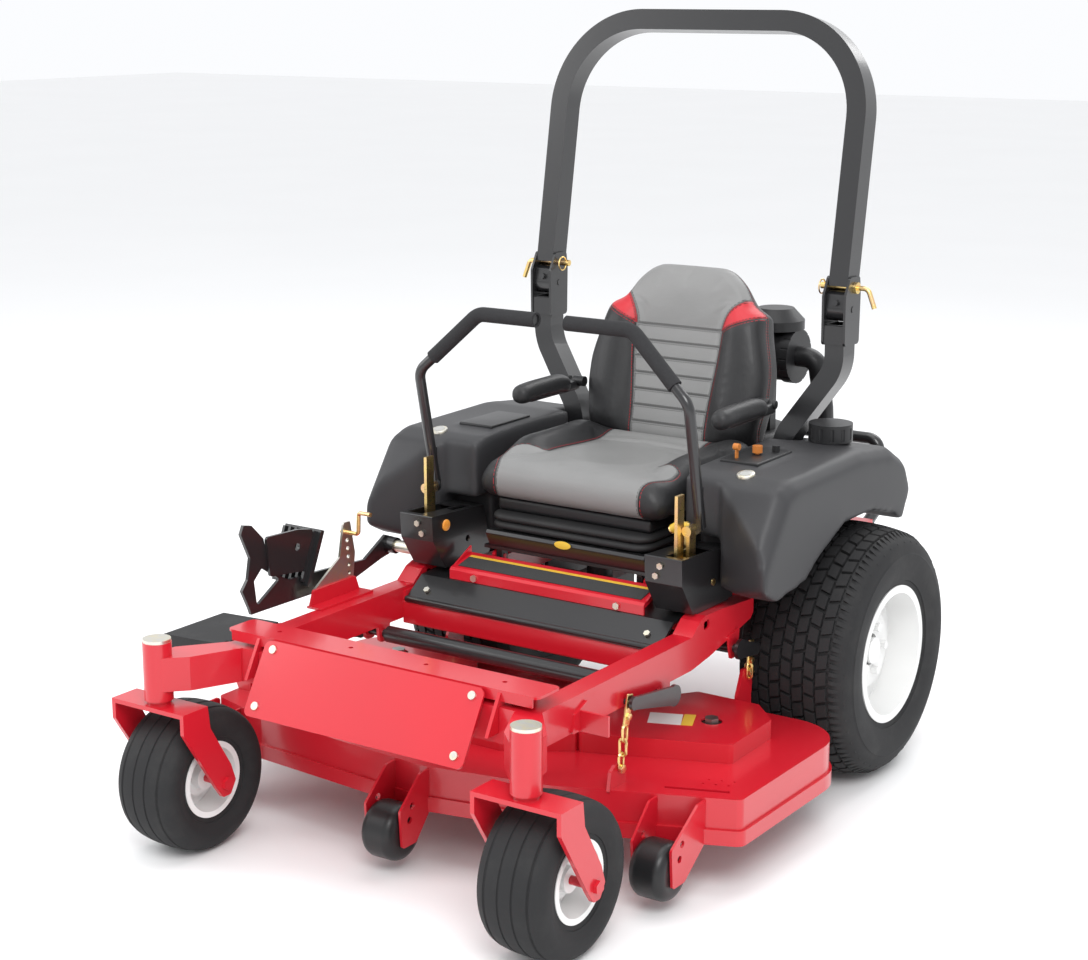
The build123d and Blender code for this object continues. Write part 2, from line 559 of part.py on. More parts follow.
# ---- fuel tank pods ----
def pod():
    """The machine's left fuel tank, which is also the fender over the tyre."""
    profile = [(-545, 573), (-545, 650), (-452, 782), (-400, POD_TOP), (-60, POD_TOP + 6), (110, POD_TOP - 14),
               (196, POD_TOP - 60), (POD_REAR, 700), (POD_REAR, 670), (173, 590), (120, 622), (0, 650),
               (-150, 650), (-280, 596), (-340, 556), (-480, 540)]
    skirt = [(-436, 560), (-436, 786), (-400, POD_TOP), (-60, POD_TOP + 6), (110, POD_TOP - 14), (196, POD_TOP - 60),
             (POD_REAR, 700), (POD_REAR, 640), (150, INNER_RAIL_HIGH + 0.5), (-300, INNER_RAIL_HIGH + 0.5),
             (-360, 540)]
    body = plate_x(profile, POD_SKIRT, POD_OUT) + plate_x(skirt, POD_IN, POD_SKIRT)
    body -= block((POD_IN - 1, TOWER_OUT + 3), (-560, -368), (480, TOWER_TOP + 10))
    body -= block((POD_IN - 1, TOWER_OUT + 3), (-560, -436), (480, POD_TOP + 20))
    body -= plate_z([(TOWER_OUT - 80, -640), (POD_OUT + 20, -640), (POD_OUT + 20, -556), (POD_OUT, -545),
                     (TOWER_OUT + 3, -452), (TOWER_OUT - 80, -452)], 480, POD_TOP + 20)
    top = [e for e in body.edges() if e.center().Z > 690 and (e.center().X > POD_OUT - 1) and e.length > 40]
    body = chamfer(top, 26) if top else body
    post = block((250, ROPS_FOOT_X + ROPS_TUBE_W / 2 + 8), (ROPS_FOOT_Y - 64, ROPS_FOOT_Y + 64), (480, 900))
    lean = plate_y([(270, 740), (334, 740), (344, 790), (392, 900), (270, 900)], ROPS_FOOT_Y - 46, ROPS_FOOT_Y + 70)
    body = body - post - lean
    x, y = FUEL_CAP
    neck = rod((x, y, POD_TOP - 30), (x, y, POD_TOP + 14), FUEL_CAP_R - 8)
    left, right = both(body)
    return (left - neck, right), neck - rod((x, y, POD_TOP - 10), (x, y, POD_TOP + 15), FUEL_CAP_R - 16)


def control_panel(side):
    """The black panel let into the top of a pod."""
    x = side * 372
    low = POD_TOP + 1.5
    return block(sorted((x - 52, x + 52)), (-330, -160), (low, low + 5))


def fuel_cap():
    x, y = FUEL_CAP
    cap = rod((x, y, POD_TOP + 14 + GAP), (x, y, POD_TOP + 52), FUEL_CAP_R)
    for turn in range(12):
        angle = 2 * pi * turn / 12
        cap -= rod((x + (FUEL_CAP_R + 3) * cos(angle), y + (FUEL_CAP_R + 3) * sin(angle), POD_TOP + 10),
                   (x + (FUEL_CAP_R + 3) * cos(angle), y + (FUEL_CAP_R + 3) * sin(angle), POD_TOP + 44), 6)
    skirt = rod((x, y, POD_TOP + 9), (x, y, POD_TOP + 15), FUEL_CAP_R)
    skirt -= rod((x, y, POD_TOP), (x, y, POD_TOP + 14 + GAP), FUEL_CAP_R - 7)
    return cap + skirt


# ---- roll bar ----
def square_tube(points, bend, width, depth, wall):
    """A rectangular tube along a route in a plane of constant Y, hollow between its closed ends."""
    route = FilletPolyline(*points, radius=bend)
    base = Plane(origin=route @ 0, x_dir=(1, 0, 0), z_dir=route % 0)
    skin = sweep(base * Rectangle(width, depth), path=route)
    return skin - sweep(base * Rectangle(width - 2 * wall, depth - 2 * wall), path=route)


def rops_posts():
    """The two lower posts with their feet and the plates that hold the fold pivots."""
    pivot_y, pivot_z = ROPS_PIVOT
    top = pivot_z - 36
    route = [(ROPS_FOOT_X, ROPS_FOOT_Y, INNER_RAIL_HIGH), (ROPS_FOOT_X, ROPS_FOOT_Y, 792),
             (ROPS_X, pivot_y, 970), (ROPS_X, pivot_y, top)]
    post = square_tube(route, 110, ROPS_TUBE_W, ROPS_TUBE_D, ROPS_WALL)
    foot = block((ROPS_FOOT_X - 36, ROPS_FOOT_X + 26), (ROPS_FOOT_Y - 60, ROPS_FOOT_Y + 60),
                 (INNER_RAIL_HIGH, INNER_RAIL_HIGH + 10))
    post += foot
    half = ROPS_TUBE_W / 2
    plate = [(pivot_y - 38, 1030), (pivot_y + 38, 1030), (pivot_y + 40, 1150), (pivot_y + 34, 1194),
             (pivot_y - 16, 1194), (pivot_y - 40, 1150)]
    for low in (ROPS_X - half - 6.5, ROPS_X + half + 0.5):
        post += plate_x(plate, low, low + 6, 10)
    weld = block((ROPS_X - half - 0.5, ROPS_X + half + 0.5), (pivot_y - 36, pivot_y - 27), (1034, top - 2))
    post += weld
    post -= rod((ROPS_X - 60, pivot_y, pivot_z), (ROPS_X + 60, pivot_y, pivot_z), PIN_R + FIT)
    lock_y, lock_z = lock_pin_spot()
    post -= rod((ROPS_X - 60, lock_y, lock_z), (ROPS_X + 60, lock_y, lock_z), PIN_R + FIT)
    return both(post)


def lock_pin_spot():
    """Where the lock pin crosses the upright, above the fold pivot."""
    rise = LOCK_RISE
    pivot_y, pivot_z = ROPS_PIVOT
    return pivot_y + rise * sin(radians(ROPS_LEAN)), pivot_z + rise * cos(radians(ROPS_LEAN))


def lock_slot(x):
    """The way out of the lock pin's hole, round the fold pivot to the tube's front face."""
    outer, inner = LOCK_RISE + PIN_R + FIT, LOCK_RISE - PIN_R - FIT
    ring = rod((x - 40, 0, 0), (x + 40, 0, 0), outer) - rod((x - 41, 0, 0), (x + 41, 0, 0), inner)
    return ring & block((x - 40, x + 40), (-LOCK_RISE - 20, 0), (20, LOCK_RISE + 20))


def rops_hoop():
    """The folding upper hoop, its pivot bolts and the rubber bumpers on its feet."""
    pivot_y, pivot_z = ROPS_PIVOT
    lean = radians(ROPS_LEAN)
    height = (ROPS_TOP - pivot_z - ROPS_TUBE_D / 2 * sin(lean)) / cos(lean) - ROPS_TUBE_W / 2
    route = [(-ROPS_X, 0, 0), (-ROPS_X, 0, height), (ROPS_X, 0, height), (ROPS_X, 0, 0)]
    hoop = square_tube(route, ROPS_CORNER_R, ROPS_TUBE_W, ROPS_TUBE_D, ROPS_WALL)
    half = ROPS_TUBE_W / 2
    for x in (-ROPS_X, ROPS_X):
        hoop += rod((x - half, 0, 0), (x + half, 0, 0), ROPS_TUBE_D / 2)
        hoop += block((x - half, x + half), (-ROPS_TUBE_D / 2, ROPS_TUBE_D / 2), (0, 90))
        hoop -= rod((x - 40, 0, LOCK_RISE), (x + 40, 0, LOCK_RISE), PIN_R + FIT)
        hoop -= lock_slot(x)
        hoop -= rod((x - 40, 0, 0), (x + 40, 0, 0), PIN_R + 4)
        hoop += rod((x - half - 8, 0, 0), (x + half + 8, 0, 0), PIN_R)
        hoop += rod((x - half, 0, 0), (x + half, 0, 0), PIN_R + 5)
        hoop += rod((x, -ROPS_TUBE_D / 2 + 2, 12), (x, -ROPS_TUBE_D / 2 - 8, 12), 7.5)
    turned = spin(hoop, (0, 0, 0), (1, 0, 0), -ROPS_LEAN)
    return Pos(0, pivot_y, pivot_z) * turned


def rops_pin():
    """The machine's left lock pin: shank through the upright, bent handle outside, hairpin inside."""
    y, z = lock_pin_spot()
    half = ROPS_TUBE_W / 2 + 6.5
    shank = rod((ROPS_X - half - 26, y, z), (ROPS_X + half + 6, y, z), PIN_R)
    collar = rod((ROPS_X + half + GAP, y, z), (ROPS_X + half + 8, y, z), 14)
    handle = bar([(ROPS_X + half, y, z), (ROPS_X + half + 34, y, z), (ROPS_X + half + 52, y, z - 46)], PIN_R - 2, 16)
    clip = Pos(ROPS_X - half - 16, y - 17, z) * (Rot(0, 90, 0) * Torus(17, 1.8))
    return [shank + collar + handle, clip - rod((ROPS_X - 80, y, z), (ROPS_X, y, z), PIN_R + 0.1)]


# ---- seat ----
def seat_platform():
    """The tilting base under the seat: folded plate, suspension box and slide rails."""
    y, z = SEAT_TIP
    base = block((-238, 238), (-480, -30), (548, 556))
    front = plate_x([(-480, 556), (-496, 590), (-492, 598), (-474, 598), (-474, 556)], -222, 222, 2)
    box = block((-205, 205), (-466, -60), (556, 622))
    box = fillet(box.edges().filter_by(Axis.Z), 18)
    box -= block((-197, 197), (-458, -68), (548, 616))
    shape = base + front + box
    for x in (-206, 190):
        shape += block((x, x + 16), (y - 12, y + 12), (z - 12, 548))
    shape -= rod((-230, y, z), (230, y, z), 6 + FIT)
    for x in (-170, 150):
        shape += block((x, x + 20), (-440, -70), (622, 634))
    return shape


def seat_hinge():
    """Ears and pins on the frame that the seat base tips forward about, and the beam that it rests on."""
    y, z = SEAT_TIP
    ears = []
    for side in (1, -1):
        low, high = sorted((side * 210, side * 218))
        ear = plate_x([(y - 14, INNER_RAIL_HIGH), (y + 14, INNER_RAIL_HIGH), (y + 14, z + 4), (y + 5, z + 12),
                       (y - 5, z + 12), (y - 14, z + 4)], low, high)
        ears.append(ear + rod((side * 188, y, z), (side * 214, y, z), 6))
    inner = INNER_RAIL_OUT - RAIL_W
    rest = block((-120, 120), (-60, -30), (INNER_RAIL_HIGH, 548 - GAP))
    rest += block((-inner, inner), (-70, -20), (INNER_RAIL_LOW + 10, INNER_RAIL_HIGH))
    return ears, rest


def seat_cushion():
    """The seat pad on its pan, with raised wings at both sides."""
    profile = [(CUSHION_FRONT, 700), (CUSHION_FRONT + 18, CUSHION_LOW), (CUSHION_REAR, CUSHION_LOW),
               (CUSHION_REAR, 740), (-250, 744), (-420, CUSHION_HIGH), (CUSHION_FRONT + 8, 742)]
    pad = plate_x(profile, -SEAT_HALF, SEAT_HALF, 8)
    wing = [(-430, 700), (-430, 750), (-330, 790), (-130, 796), (-62, 756), (CUSHION_REAR, 740), (CUSHION_REAR, 700)]
    pad += plate_x(wing, SEAT_HALF - 70, SEAT_HALF, 6)
    pad += plate_x(wing, -SEAT_HALF, -SEAT_HALF + 70, 6)
    pan = block((-215, 215), (-455, -40), (640, CUSHION_LOW))
    slides = []
    for x in (-170, 150):
        slides.append(block((x, x + 20), (-430, -80), (634 + GAP, 640)))
    shape = pad + pan
    for slide in slides:
        shape += slide
    return shape


def seat_back():
    """The back rest, narrower at the top, with side bolsters, and its hinge arms."""
    tall = (BACK_TOP - 766) / cos(radians(BACK_TILT)) - 12
    face = [(-SEAT_HALF + 22, 0), (SEAT_HALF - 22, 0), (SEAT_HALF - 10, tall * 0.35), (SEAT_HALF - 14, tall * 0.62),
            (SEAT_HALF - 88, tall), (-SEAT_HALF + 88, tall), (-SEAT_HALF + 14, tall * 0.62),
            (-SEAT_HALF + 10, tall * 0.35)]
    slab = extrude(Plane.XZ * outline(face, 38), BACK_THICK, dir=(0, 1, 0))
    back = Pos(0, -44, 766) * spin(slab, (0, 0, 0), (1, 0, 0), -BACK_TILT)
    for x in (-SEAT_HALF + 28, SEAT_HALF - 36):
        back += plate_x([(-19.7, 700), (14, 700), (40, 800), (60, 860), (20, 860), (-19.7, 780)], x, x + 8)
    return back


def armrest():
    """The machine's left arm rest with its pivot boss."""
    x = 286
    pad = plate_x([(-282, ARMREST_Z - 26), (-266, ARMREST_Z + 2), (-210, ARMREST_Z + 6), (-14, ARMREST_Z - 2),
                   (0, ARMREST_Z - 30), (-14, ARMREST_Z - 48), (-130, ARMREST_Z - 42), (-244, ARMREST_Z - 46)],
                  x - 23, x + 23, 9)
    boss = rod((SEAT_HALF - 11.2, *ARMREST_PIVOT), (x - 22, *ARMREST_PIVOT), 13)
    return pad + boss


# ---- engine and drive ----
def engine():
    """The engine: crankcase, two cylinders with fins, blower housing, muffler and tail pipe."""
    case = block((-150, 150), (220, 420), (INNER_RAIL_HIGH, 640))
    case = fillet(case.edges().filter_by(Axis.Z), 24)
    case -= rod((0, 310, 470), (0, 310, 560), 25)
    for side in (1, -1):
        core = spin(block((-52, 52), (-45, 45), (60, 170)), (0, 0, 0), (0, 1, 0), side * 52)
        fins = core
        for step in range(6):
            fins += spin(block((-62, 62), (-56, 56), (76 + step * 15, 80 + step * 15)), (0, 0, 0), (0, 1, 0), side * 52)
        case += Pos(side * 14, 322, 556) * fins
    shroud = rod((0, 310, 640), (0, 310, 742), 166)
    shroud = fillet(shroud.edges().filter_by(GeomType.CIRCLE).sort_by(Axis.Z)[-1:], 30)
    screen = rod((0, 310, 742), (0, 310, 762), 112)
    for turn in range(10):
        angle = 2 * pi * turn / 10
        slot = block((30, 96), (-5, 5), (750, 770))
        screen -= Pos(0, 310, 0) * spin(slot, (0, 0, 0), (0, 0, 1), degrees(angle))
    intake = block((120, 182), (312, 368), (648, 696))
    return case + shroud + screen + intake


def muffler():
    """The muffler behind the engine with its brackets and tail pipe."""
    can = rod((-170, 492, 577), (170, 492, 577), 62)
    can = fillet(can.edges().filter_by(GeomType.CIRCLE), 10)
    for x in (-120, 112):
        can += block((x, x + 8), (440, 500), (INNER_RAIL_HIGH, 560))
    tail = bar([(170, 492, 577), (205, 492, 577), (220, 540, 571)], 17, 16)
    pipe = rod((-90, 420, 592), (-90, 470, 588), 16)
    return can + tail + pipe


def air_cleaner():
    """The canister air cleaner above the engine, its rain cap, clamp bands and hose."""
    y, z, r = 300, 945, 66
    can = rod((-120, y, z), (168, y, z), r)
    end = rod((168, y, z), (196, y, z), r + 4)
    for turn in range(16):
        angle = 2 * pi * turn / 16
        end -= rod((175, y + (r + 5) * cos(angle), z + (r + 5) * sin(angle)),
                   (197, y + (r + 5) * cos(angle), z + (r + 5) * sin(angle)), 3)
    stack = rod((128, y, z), (128, y, 1012), 30)
    hood = rod((128, y, 1012), (128, y, 1036), 74)
    dome = Pos(128, y, 1036) * (Cone(74, 46, 30, align=(Align.CENTER, Align.CENTER, Align.MIN)))
    band = rod((-40, y, z), (-20, y, z), r + 3) + rod((90, y, z), (108, y, z), r + 3)
    hose = bar([(190, y, z), (250, y, z - 2), (262, y + 16, z - 130), (258, y + 40, 672), (182, y + 40, 672)], 26, 34)
    legs = [block((-120, -112), (y - 5, y + 25), (742, z - 40)), block((113, 121), (y - 5, y + 25), (742, z - 50))]
    shape = can + end + stack + hood + dome + band + hose
    for leg in legs:
        shape += leg
    return shape


def hydro_drives():
    """One drive unit for each wheel: housing, reservoir, output shaft, brake arm and mounting plate."""
    shaft_end = REAR_HALF_TRACK + REAR_RIM_W / 2 - REAR_DISC_INSET + 10
    case = rod((150, 0, REAR_TYRE_R), (368, 0, REAR_TYRE_R), 62)
    case += block((150, 268), (-80, 70), (REAR_TYRE_R - 50, REAR_TYRE_R + 70))
    case += rod((200, -20, REAR_TYRE_R + 60), (200, -20, REAR_TYRE_R + 108), 34)
    nose = rod((368, 0, REAR_TYRE_R), (412, 0, REAR_TYRE_R), 48)
    shaft = rod((412, 0, REAR_TYRE_R), (shaft_end, 0, REAR_TYRE_R), MOTOR_SHAFT_R)
    plate = block((INNER_RAIL_OUT - 14, INNER_RAIL_OUT - 4), (-95, 95), (REAR_TYRE_R - 70, INNER_RAIL_LOW))
    unit = case + nose + shaft + plate
    arm = block((286, 294), (-130, -50), (REAR_TYRE_R + 6, REAR_TYRE_R + 20))
    return both(unit + arm)


def clutch_pulley():
    """The electric clutch and its pulley on the crankshaft, under the engine."""
    shaft = rod((0, 310, 330), (0, 310, 560), 24.9)
    body = rod((0, 310, 402), (0, 310, 470), 44)
    pulley = rod((0, 310, 360), (0, 310, 392), 66) - ring_groove(0, 310, 376, 66, 9)
    plate = rod((0, 310, 392), (0, 310, 402), 60)
    return shaft + body + pulley + plate


def ring_groove(x, y, z, radius, depth):
    """The V groove of a pulley."""
    face = make_face(Polyline((radius - depth, -3), (radius + 1, -8), (radius + 1, 8), (radius - depth, 3), close=True))
    return Pos(x, y, z) * revolve(Plane.XZ * face, Axis.Z)


def rear_guard():
    """The black tube guard round the back of the engine, with the tow plate."""
    left = INNER_RAIL_OUT - ROPS_TUBE_W / 2
    hoop = bar([(left, REAR_END + 14, 470), (left, REAR_END + 76, 500), (left, REAR_END + 76, 690),
                (-left, REAR_END + 76, 690), (-left, REAR_END + 76, 500), (-left, REAR_END + 14, 470)], 16, 30)
    bars = hoop + rod((-left, REAR_END + 76, 590), (left, REAR_END + 76, 590), 10)
    for side in (1, -1):
        bars += block(sorted((side * (left - 24), side * (left + 24))), (REAR_END, REAR_END + 14), (438, 486))
    return bars


def tow_plate():
    """The tow plate on the rear cross beam, with its pin hole."""
    plate = block((-70, 70), (REAR_END, REAR_END + 8), (400, 486))
    shelf = block((-45, 45), (REAR_END + 8, REAR_END + 78), (400, 410))
    shelf = fillet(shelf.edges().filter_by(Axis.Z).sort_by(Axis.Y)[-2:], 22)
    shape = plate + shelf - rod((0, REAR_END + 48, 390), (0, REAR_END + 48, 420), 9.5)
    for x in (-36, 36):
        shape -= rod((x, REAR_END - 1, 460), (x, REAR_END + 9, 460), 8)
        shape += rod((x, REAR_END - 30, 460), (x, REAR_END + 8, 460), 7.9)
        shape += bolt((x, REAR_END + 8, 460), (0, 1, 0), 12, 8)
    return shape


# ---- mower deck ----
def deck_plan(grow=0):
    """The deck's plan shape, grown or shrunk, with round rear corners."""
    plan = Polygon(*DECK_PLAN, align=None)
    plan = fillet(plan.vertices().sort_by(Axis.Y)[:-2], 18)
    rear = plan.vertices().filter_by(lambda v: abs(v.Y - DECK_REAR) < 1 and abs(abs(v.X) - DECK_HALF) < 1)
    plan = fillet(rear, DECK_CORNER_R)
    return offset(plan, amount=grow) if grow else plan


def front_wall(x):
    """Y of the deck's front wall at a given X."""
    front = sorted(DECK_PLAN[:5])
    for (x1, y1), (x2, y2) in zip(front, front[1:]):
        if x1 <= x <= x2:
            return y1 + (y2 - y1) * (x - x1) / (x2 - x1)
    return front[0][1]


def deck_shell():
    """The welded deck: top, side wall, trim band, discharge mouth, roller ears and hanger brackets."""
    skin = Pos(0, 0, DECK_LOW) * extrude(deck_plan(), DECK_HIGH - DECK_LOW, dir=(0, 0, 1))
    skin -= Pos(0, 0, DECK_LOW - 1) * extrude(deck_plan(-SHEET), DECK_HIGH - SHEET - DECK_LOW + 1, dir=(0, 0, 1))
    band = Pos(0, 0, DECK_LOW) * extrude(deck_plan(6) - deck_plan(-1), 34, dir=(0, 0, 1))
    shell = skin + band
    shell -= block((-DECK_HALF - 20, -DECK_HALF + 20), (CHUTE_FRONT + 8, CHUTE_REAR - 4), (DECK_LOW - 1, DECK_HIGH - 12))
    for x, y in SPINDLES.values():
        shell -= rod((x, y, DECK_HIGH - 10), (x, y, DECK_HIGH + 1), 44)
    shell -= plate_z([(505, -868), (634, -818), (630, -808), (501, -858)], DECK_HIGH - 10, DECK_HIGH + 1)
    for row in range(3):
        for hole in range(2):
            spot = (560 + row * 26, -800 + row * 9 + hole * 26)
            shell -= rod((*spot, DECK_HIGH - 10), (*spot, DECK_HIGH + 1), 3)
    for x, y in ROLLERS.values():
        shell += roller_ears(x, y)
    shell += chute_ears()
    for side in (1, -1):
        shell += hanger_bracket(side)
    return shell


def roller_ears(x, y):
    """Two red ears rooted on the deck's front wall, and the bolt that one roller turns on."""
    pair = rod((x - ROLLER_W / 2 - 8, y, ROLLER_Z), (x + ROLLER_W / 2 + 8, y, ROLLER_Z), ROLLER_BOLT_R)
    for low in (x - ROLLER_W / 2 - 8, x + ROLLER_W / 2 + 2):
        wall = front_wall(low + 3)
        ear = plate_x([(y - 24, ROLLER_Z - 26), (y + 24, ROLLER_Z - 26), (wall + 6, DECK_LOW + 6),
                       (wall + 6, DECK_HIGH - SHEET), (wall - 30, DECK_HIGH - 6), (y - 30, ROLLER_Z + 60)],
                      low, low + 6, 8)
        for row in range(2):
            hole = (y + 2 + row * 10, ROLLER_Z + 32 + row * 30)
            ear -= rod((low - 1, *hole), (low + 7, *hole), ROLLER_BOLT_R)
        pair += ear
    return pair


def chute_ears():
    """The hinge ears and the pin for the discharge chute on the deck's right edge."""
    x, z = CHUTE_HINGE
    pair = rod((x, CHUTE_FRONT + 10, z), (x, CHUTE_REAR - 10, z), 5)
    for y in (CHUTE_FRONT + 10, CHUTE_REAR - 18):
        pair += plate_y([(x + 70, DECK_HIGH - SHEET), (x + 34, DECK_HIGH - SHEET), (x - 8, z - 6), (x + 8, z + 9),
                         (x + 70, DECK_HIGH + 24)], y, y + 8)
        pair += rod((x, y, z), (x, y + 8, z), 11)
    return pair


def hanger_bracket(side):
    """Posts that the front and rear hangers bolt to."""
    x = side * (LIFT_ARM_X - 8)
    rear = plate_x([(-400, COVER_TOP), (-330, COVER_TOP), (-330, 300), (-345, 330), (-372, 330), (-385, 300)],
                   *sorted((x, x - side * 8)), 4)
    rear += block(sorted((x, x - side * 8)), (-398, -332), (DECK_HIGH - SHEET, COVER_TOP + 2))
    front = plate_x([(-950, DECK_HIGH - SHEET), (-880, DECK_HIGH - SHEET), (-888, 262), (-905, 272), (-925, 272),
                     (-942, 262)], *sorted((x, x - side * 8)), 4)
    return [rear + front]


def belt_covers():
    """The raised red covers over the spindle pulleys."""
    left_plan = [(556, -667), (551, -476), (478, -402), (318, -402), (232, -520), (232, -795)]
    centre_plan = [(231, -795), (90, -884), (-90, -884), (-231, -795), (-231, -560), (231, -560)]
    covers = []
    for plan, spot in ((left_plan, SPINDLES["left"]), (centre_plan, SPINDLES["centre"])):
        skin = plate_z(plan, DECK_HIGH + 0.1, COVER_TOP, 12)
        core = Pos(0, 0, DECK_HIGH - 1) * extrude(offset(outline(plan, 12), amount=-4), COVER_TOP - 3 - DECK_HIGH,
                                                dir=(0, 0, 1))
        covers.append(skin - core - rod((*spot, COVER_TOP - 10), (*spot, COVER_TOP + 1), 24))
    left, centre = covers
    return [left, centre, mirror(left, about=Plane.YZ)]


def spindle_housings():
    """Cast housings bolted through the deck top, one under each pulley."""
    housings = []
    for x, y in SPINDLES.values():
        flange = rod((x, y, DECK_HIGH + 0.1), (x, y, DECK_HIGH + 9), 58)
        tube = rod((x, y, BLADE_Z + 22), (x, y, DECK_HIGH + 9), 40)
        housings.append(flange + tube - rod((x, y, 100), (x, y, 300), SPINDLE_R + FIT))
        for turn in range(4):
            angle = pi / 4 + pi / 2 * turn
            spot = (x + 50 * cos(angle), y + 50 * sin(angle), DECK_HIGH + 9)
            housings[-1] += bolt(spot, (0, 0, 1), 7, 5)
    return housings


def blade_spindle(place):
    """A spindle shaft with its pulley, top nut, blade and blade bolt."""
    x, y = SPINDLES[place]
    shaft = rod((x, y, BLADE_Z), (x, y, COVER_TOP + 4), SPINDLE_R)
    nut = bolt((x, y, COVER_TOP - 6), (0, 0, 1), 17, 15)
    pulley = rod((x, y, DECK_HIGH + 17), (x, y, DECK_HIGH + 37), PULLEY_R)
    pulley -= ring_groove(x, y, DECK_HIGH + 27, PULLEY_R, 9)
    half = BLADE_LENGTH / 2
    blade = block((-half, half), (-31, 31), (-6, 0))
    for side in (1, -1):
        wing = plate_x([(18 * side, 0), (31 * side, 0), (31 * side, 20), (27 * side, 20)], half - 92, half)
        blade += wing if side > 0 else mirror(wing, about=Plane.YZ)
        edge = plate_x([(-31 * side, -7), (-20 * side, -7), (-31 * side, -1)], half - 120, half + 1)
        blade -= edge if side > 0 else mirror(edge, about=Plane.YZ)
    blade = Pos(x, y, BLADE_Z) * spin(blade, (0, 0, 0), (0, 0, 1), 90)
    collar = rod((x, y, BLADE_Z), (x, y, BLADE_Z + 21), 24)
    head = bolt((x, y, BLADE_Z - 18), (0, 0, 1), 15, 12)
    return shaft + nut + pulley + blade + collar + head


def roller(x, y):
    """An anti-scalp roller with rounded ends that turns on its bolt."""
    body = rod((x - ROLLER_W / 2, y, ROLLER_Z), (x + ROLLER_W / 2, y, ROLLER_Z), ROLLER_R)
    body = fillet(body.edges().filter_by(GeomType.CIRCLE), 22)
    return body - rod((x - ROLLER_W, y, ROLLER_Z), (x + ROLLER_W, y, ROLLER_Z), ROLLER_BOLT_R + FIT)


def discharge_chute():
    """The rubber chute: sheet, rolled front edge, knuckles round the hinge pin."""
    x, z = CHUTE_HINGE
    profile = [(x - 18, z + 7), (x - 18, z - 1), (-900, z - 8), (-930, z - 22), (CHUTE_OUT + 6, 210), (CHUTE_OUT, 210),
               (-937, z - 20), (-903, z)]
    sheet = plate_y(profile, CHUTE_FRONT, CHUTE_REAR)
    front = plate_y([(x - 20, z + 2), (-900, z - 6), (-932, z - 22), (CHUTE_OUT + 2, 212), (-900, 200), (x - 24, 236)],
                    CHUTE_FRONT, CHUTE_FRONT + 7)
    sheet += front
    for y in (CHUTE_FRONT + 30, CHUTE_REAR - 70):
        sheet += rod((x, y, z), (x, y + 40, z), 12) + block((x - 24, x), (y, y + 40), (z - 1, z + 7))
    return sheet - rod((x, CHUTE_FRONT - 1, z), (x, CHUTE_REAR + 1, z), 5 + FIT)


# ---- deck lift ----
def arm_plate(pivot, tip, x, thick, pivot_r, tip_r):
    """A flat arm between a pivot and a tip in the Y-Z plane."""
    (y1, z1), (y2, z2) = pivot, tip
    length, angle = hypot(y2 - y1, z2 - z1), degrees(atan2(z2 - z1, y2 - y1))
    flat = Circle(pivot_r) + Pos(length, 0) * Circle(tip_r)
    flat += Polygon((0, -pivot_r * 0.9), (length, -tip_r * 0.9), (length, tip_r * 0.9), (0, pivot_r * 0.9), align=None)
    plane = Plane(origin=(x, y1, z1), x_dir=(0, 1, 0), z_dir=(1, 0, 0))
    return plane * (Rot(0, 0, angle) * extrude(flat, thick))


def lift_shaft(pivot, tip):
    """A rock shaft across the frame with an arm and a hanger pin at each end."""
    reach = LIFT_ARM_X + 8
    shaft = rod((-reach, *pivot), (reach, *pivot), LIFT_NECK_R)
    shaft += rod((-350, *pivot), (350, *pivot), LIFT_SHAFT_R)
    for side in (1, -1):
        x = side * (LIFT_ARM_X + 4)
        low = min(x, x + side * 8)
        shaft += arm_plate(pivot, tip, low, 8, 24, 15)
        shaft += rod((side * (LIFT_ARM_X - 14), *tip), (x, *tip), 7)
    return shaft


def hanger(side, tip, foot_y, foot_z, eye_shift):
    """A yellow zinc link from a lift arm's pin down to its bracket on the deck."""
    x = side * (LIFT_ARM_X - 8)
    link = arm_plate((foot_y, foot_z), tip, min(x, x + side * 7) + 0.2, 6.6, 14, 23)
    eye = (tip[0] + eye_shift, tip[1])
    link -= rod((x - 20, *eye), (x + 20, *eye), 14)
    stud = rod((x, foot_y, foot_z), (x + side * 12, foot_y, foot_z), 6)
    return link + stud + bolt((x + side * 7, foot_y, foot_z), (side, 0, 0), 10, 7)


def deck_hangers():
    links = []
    for side in (1, -1):
        links += [hanger(side, FRONT_TIP, -912, 252, 1), hanger(side, REAR_TIP, -355, 312, -4)]
    return links


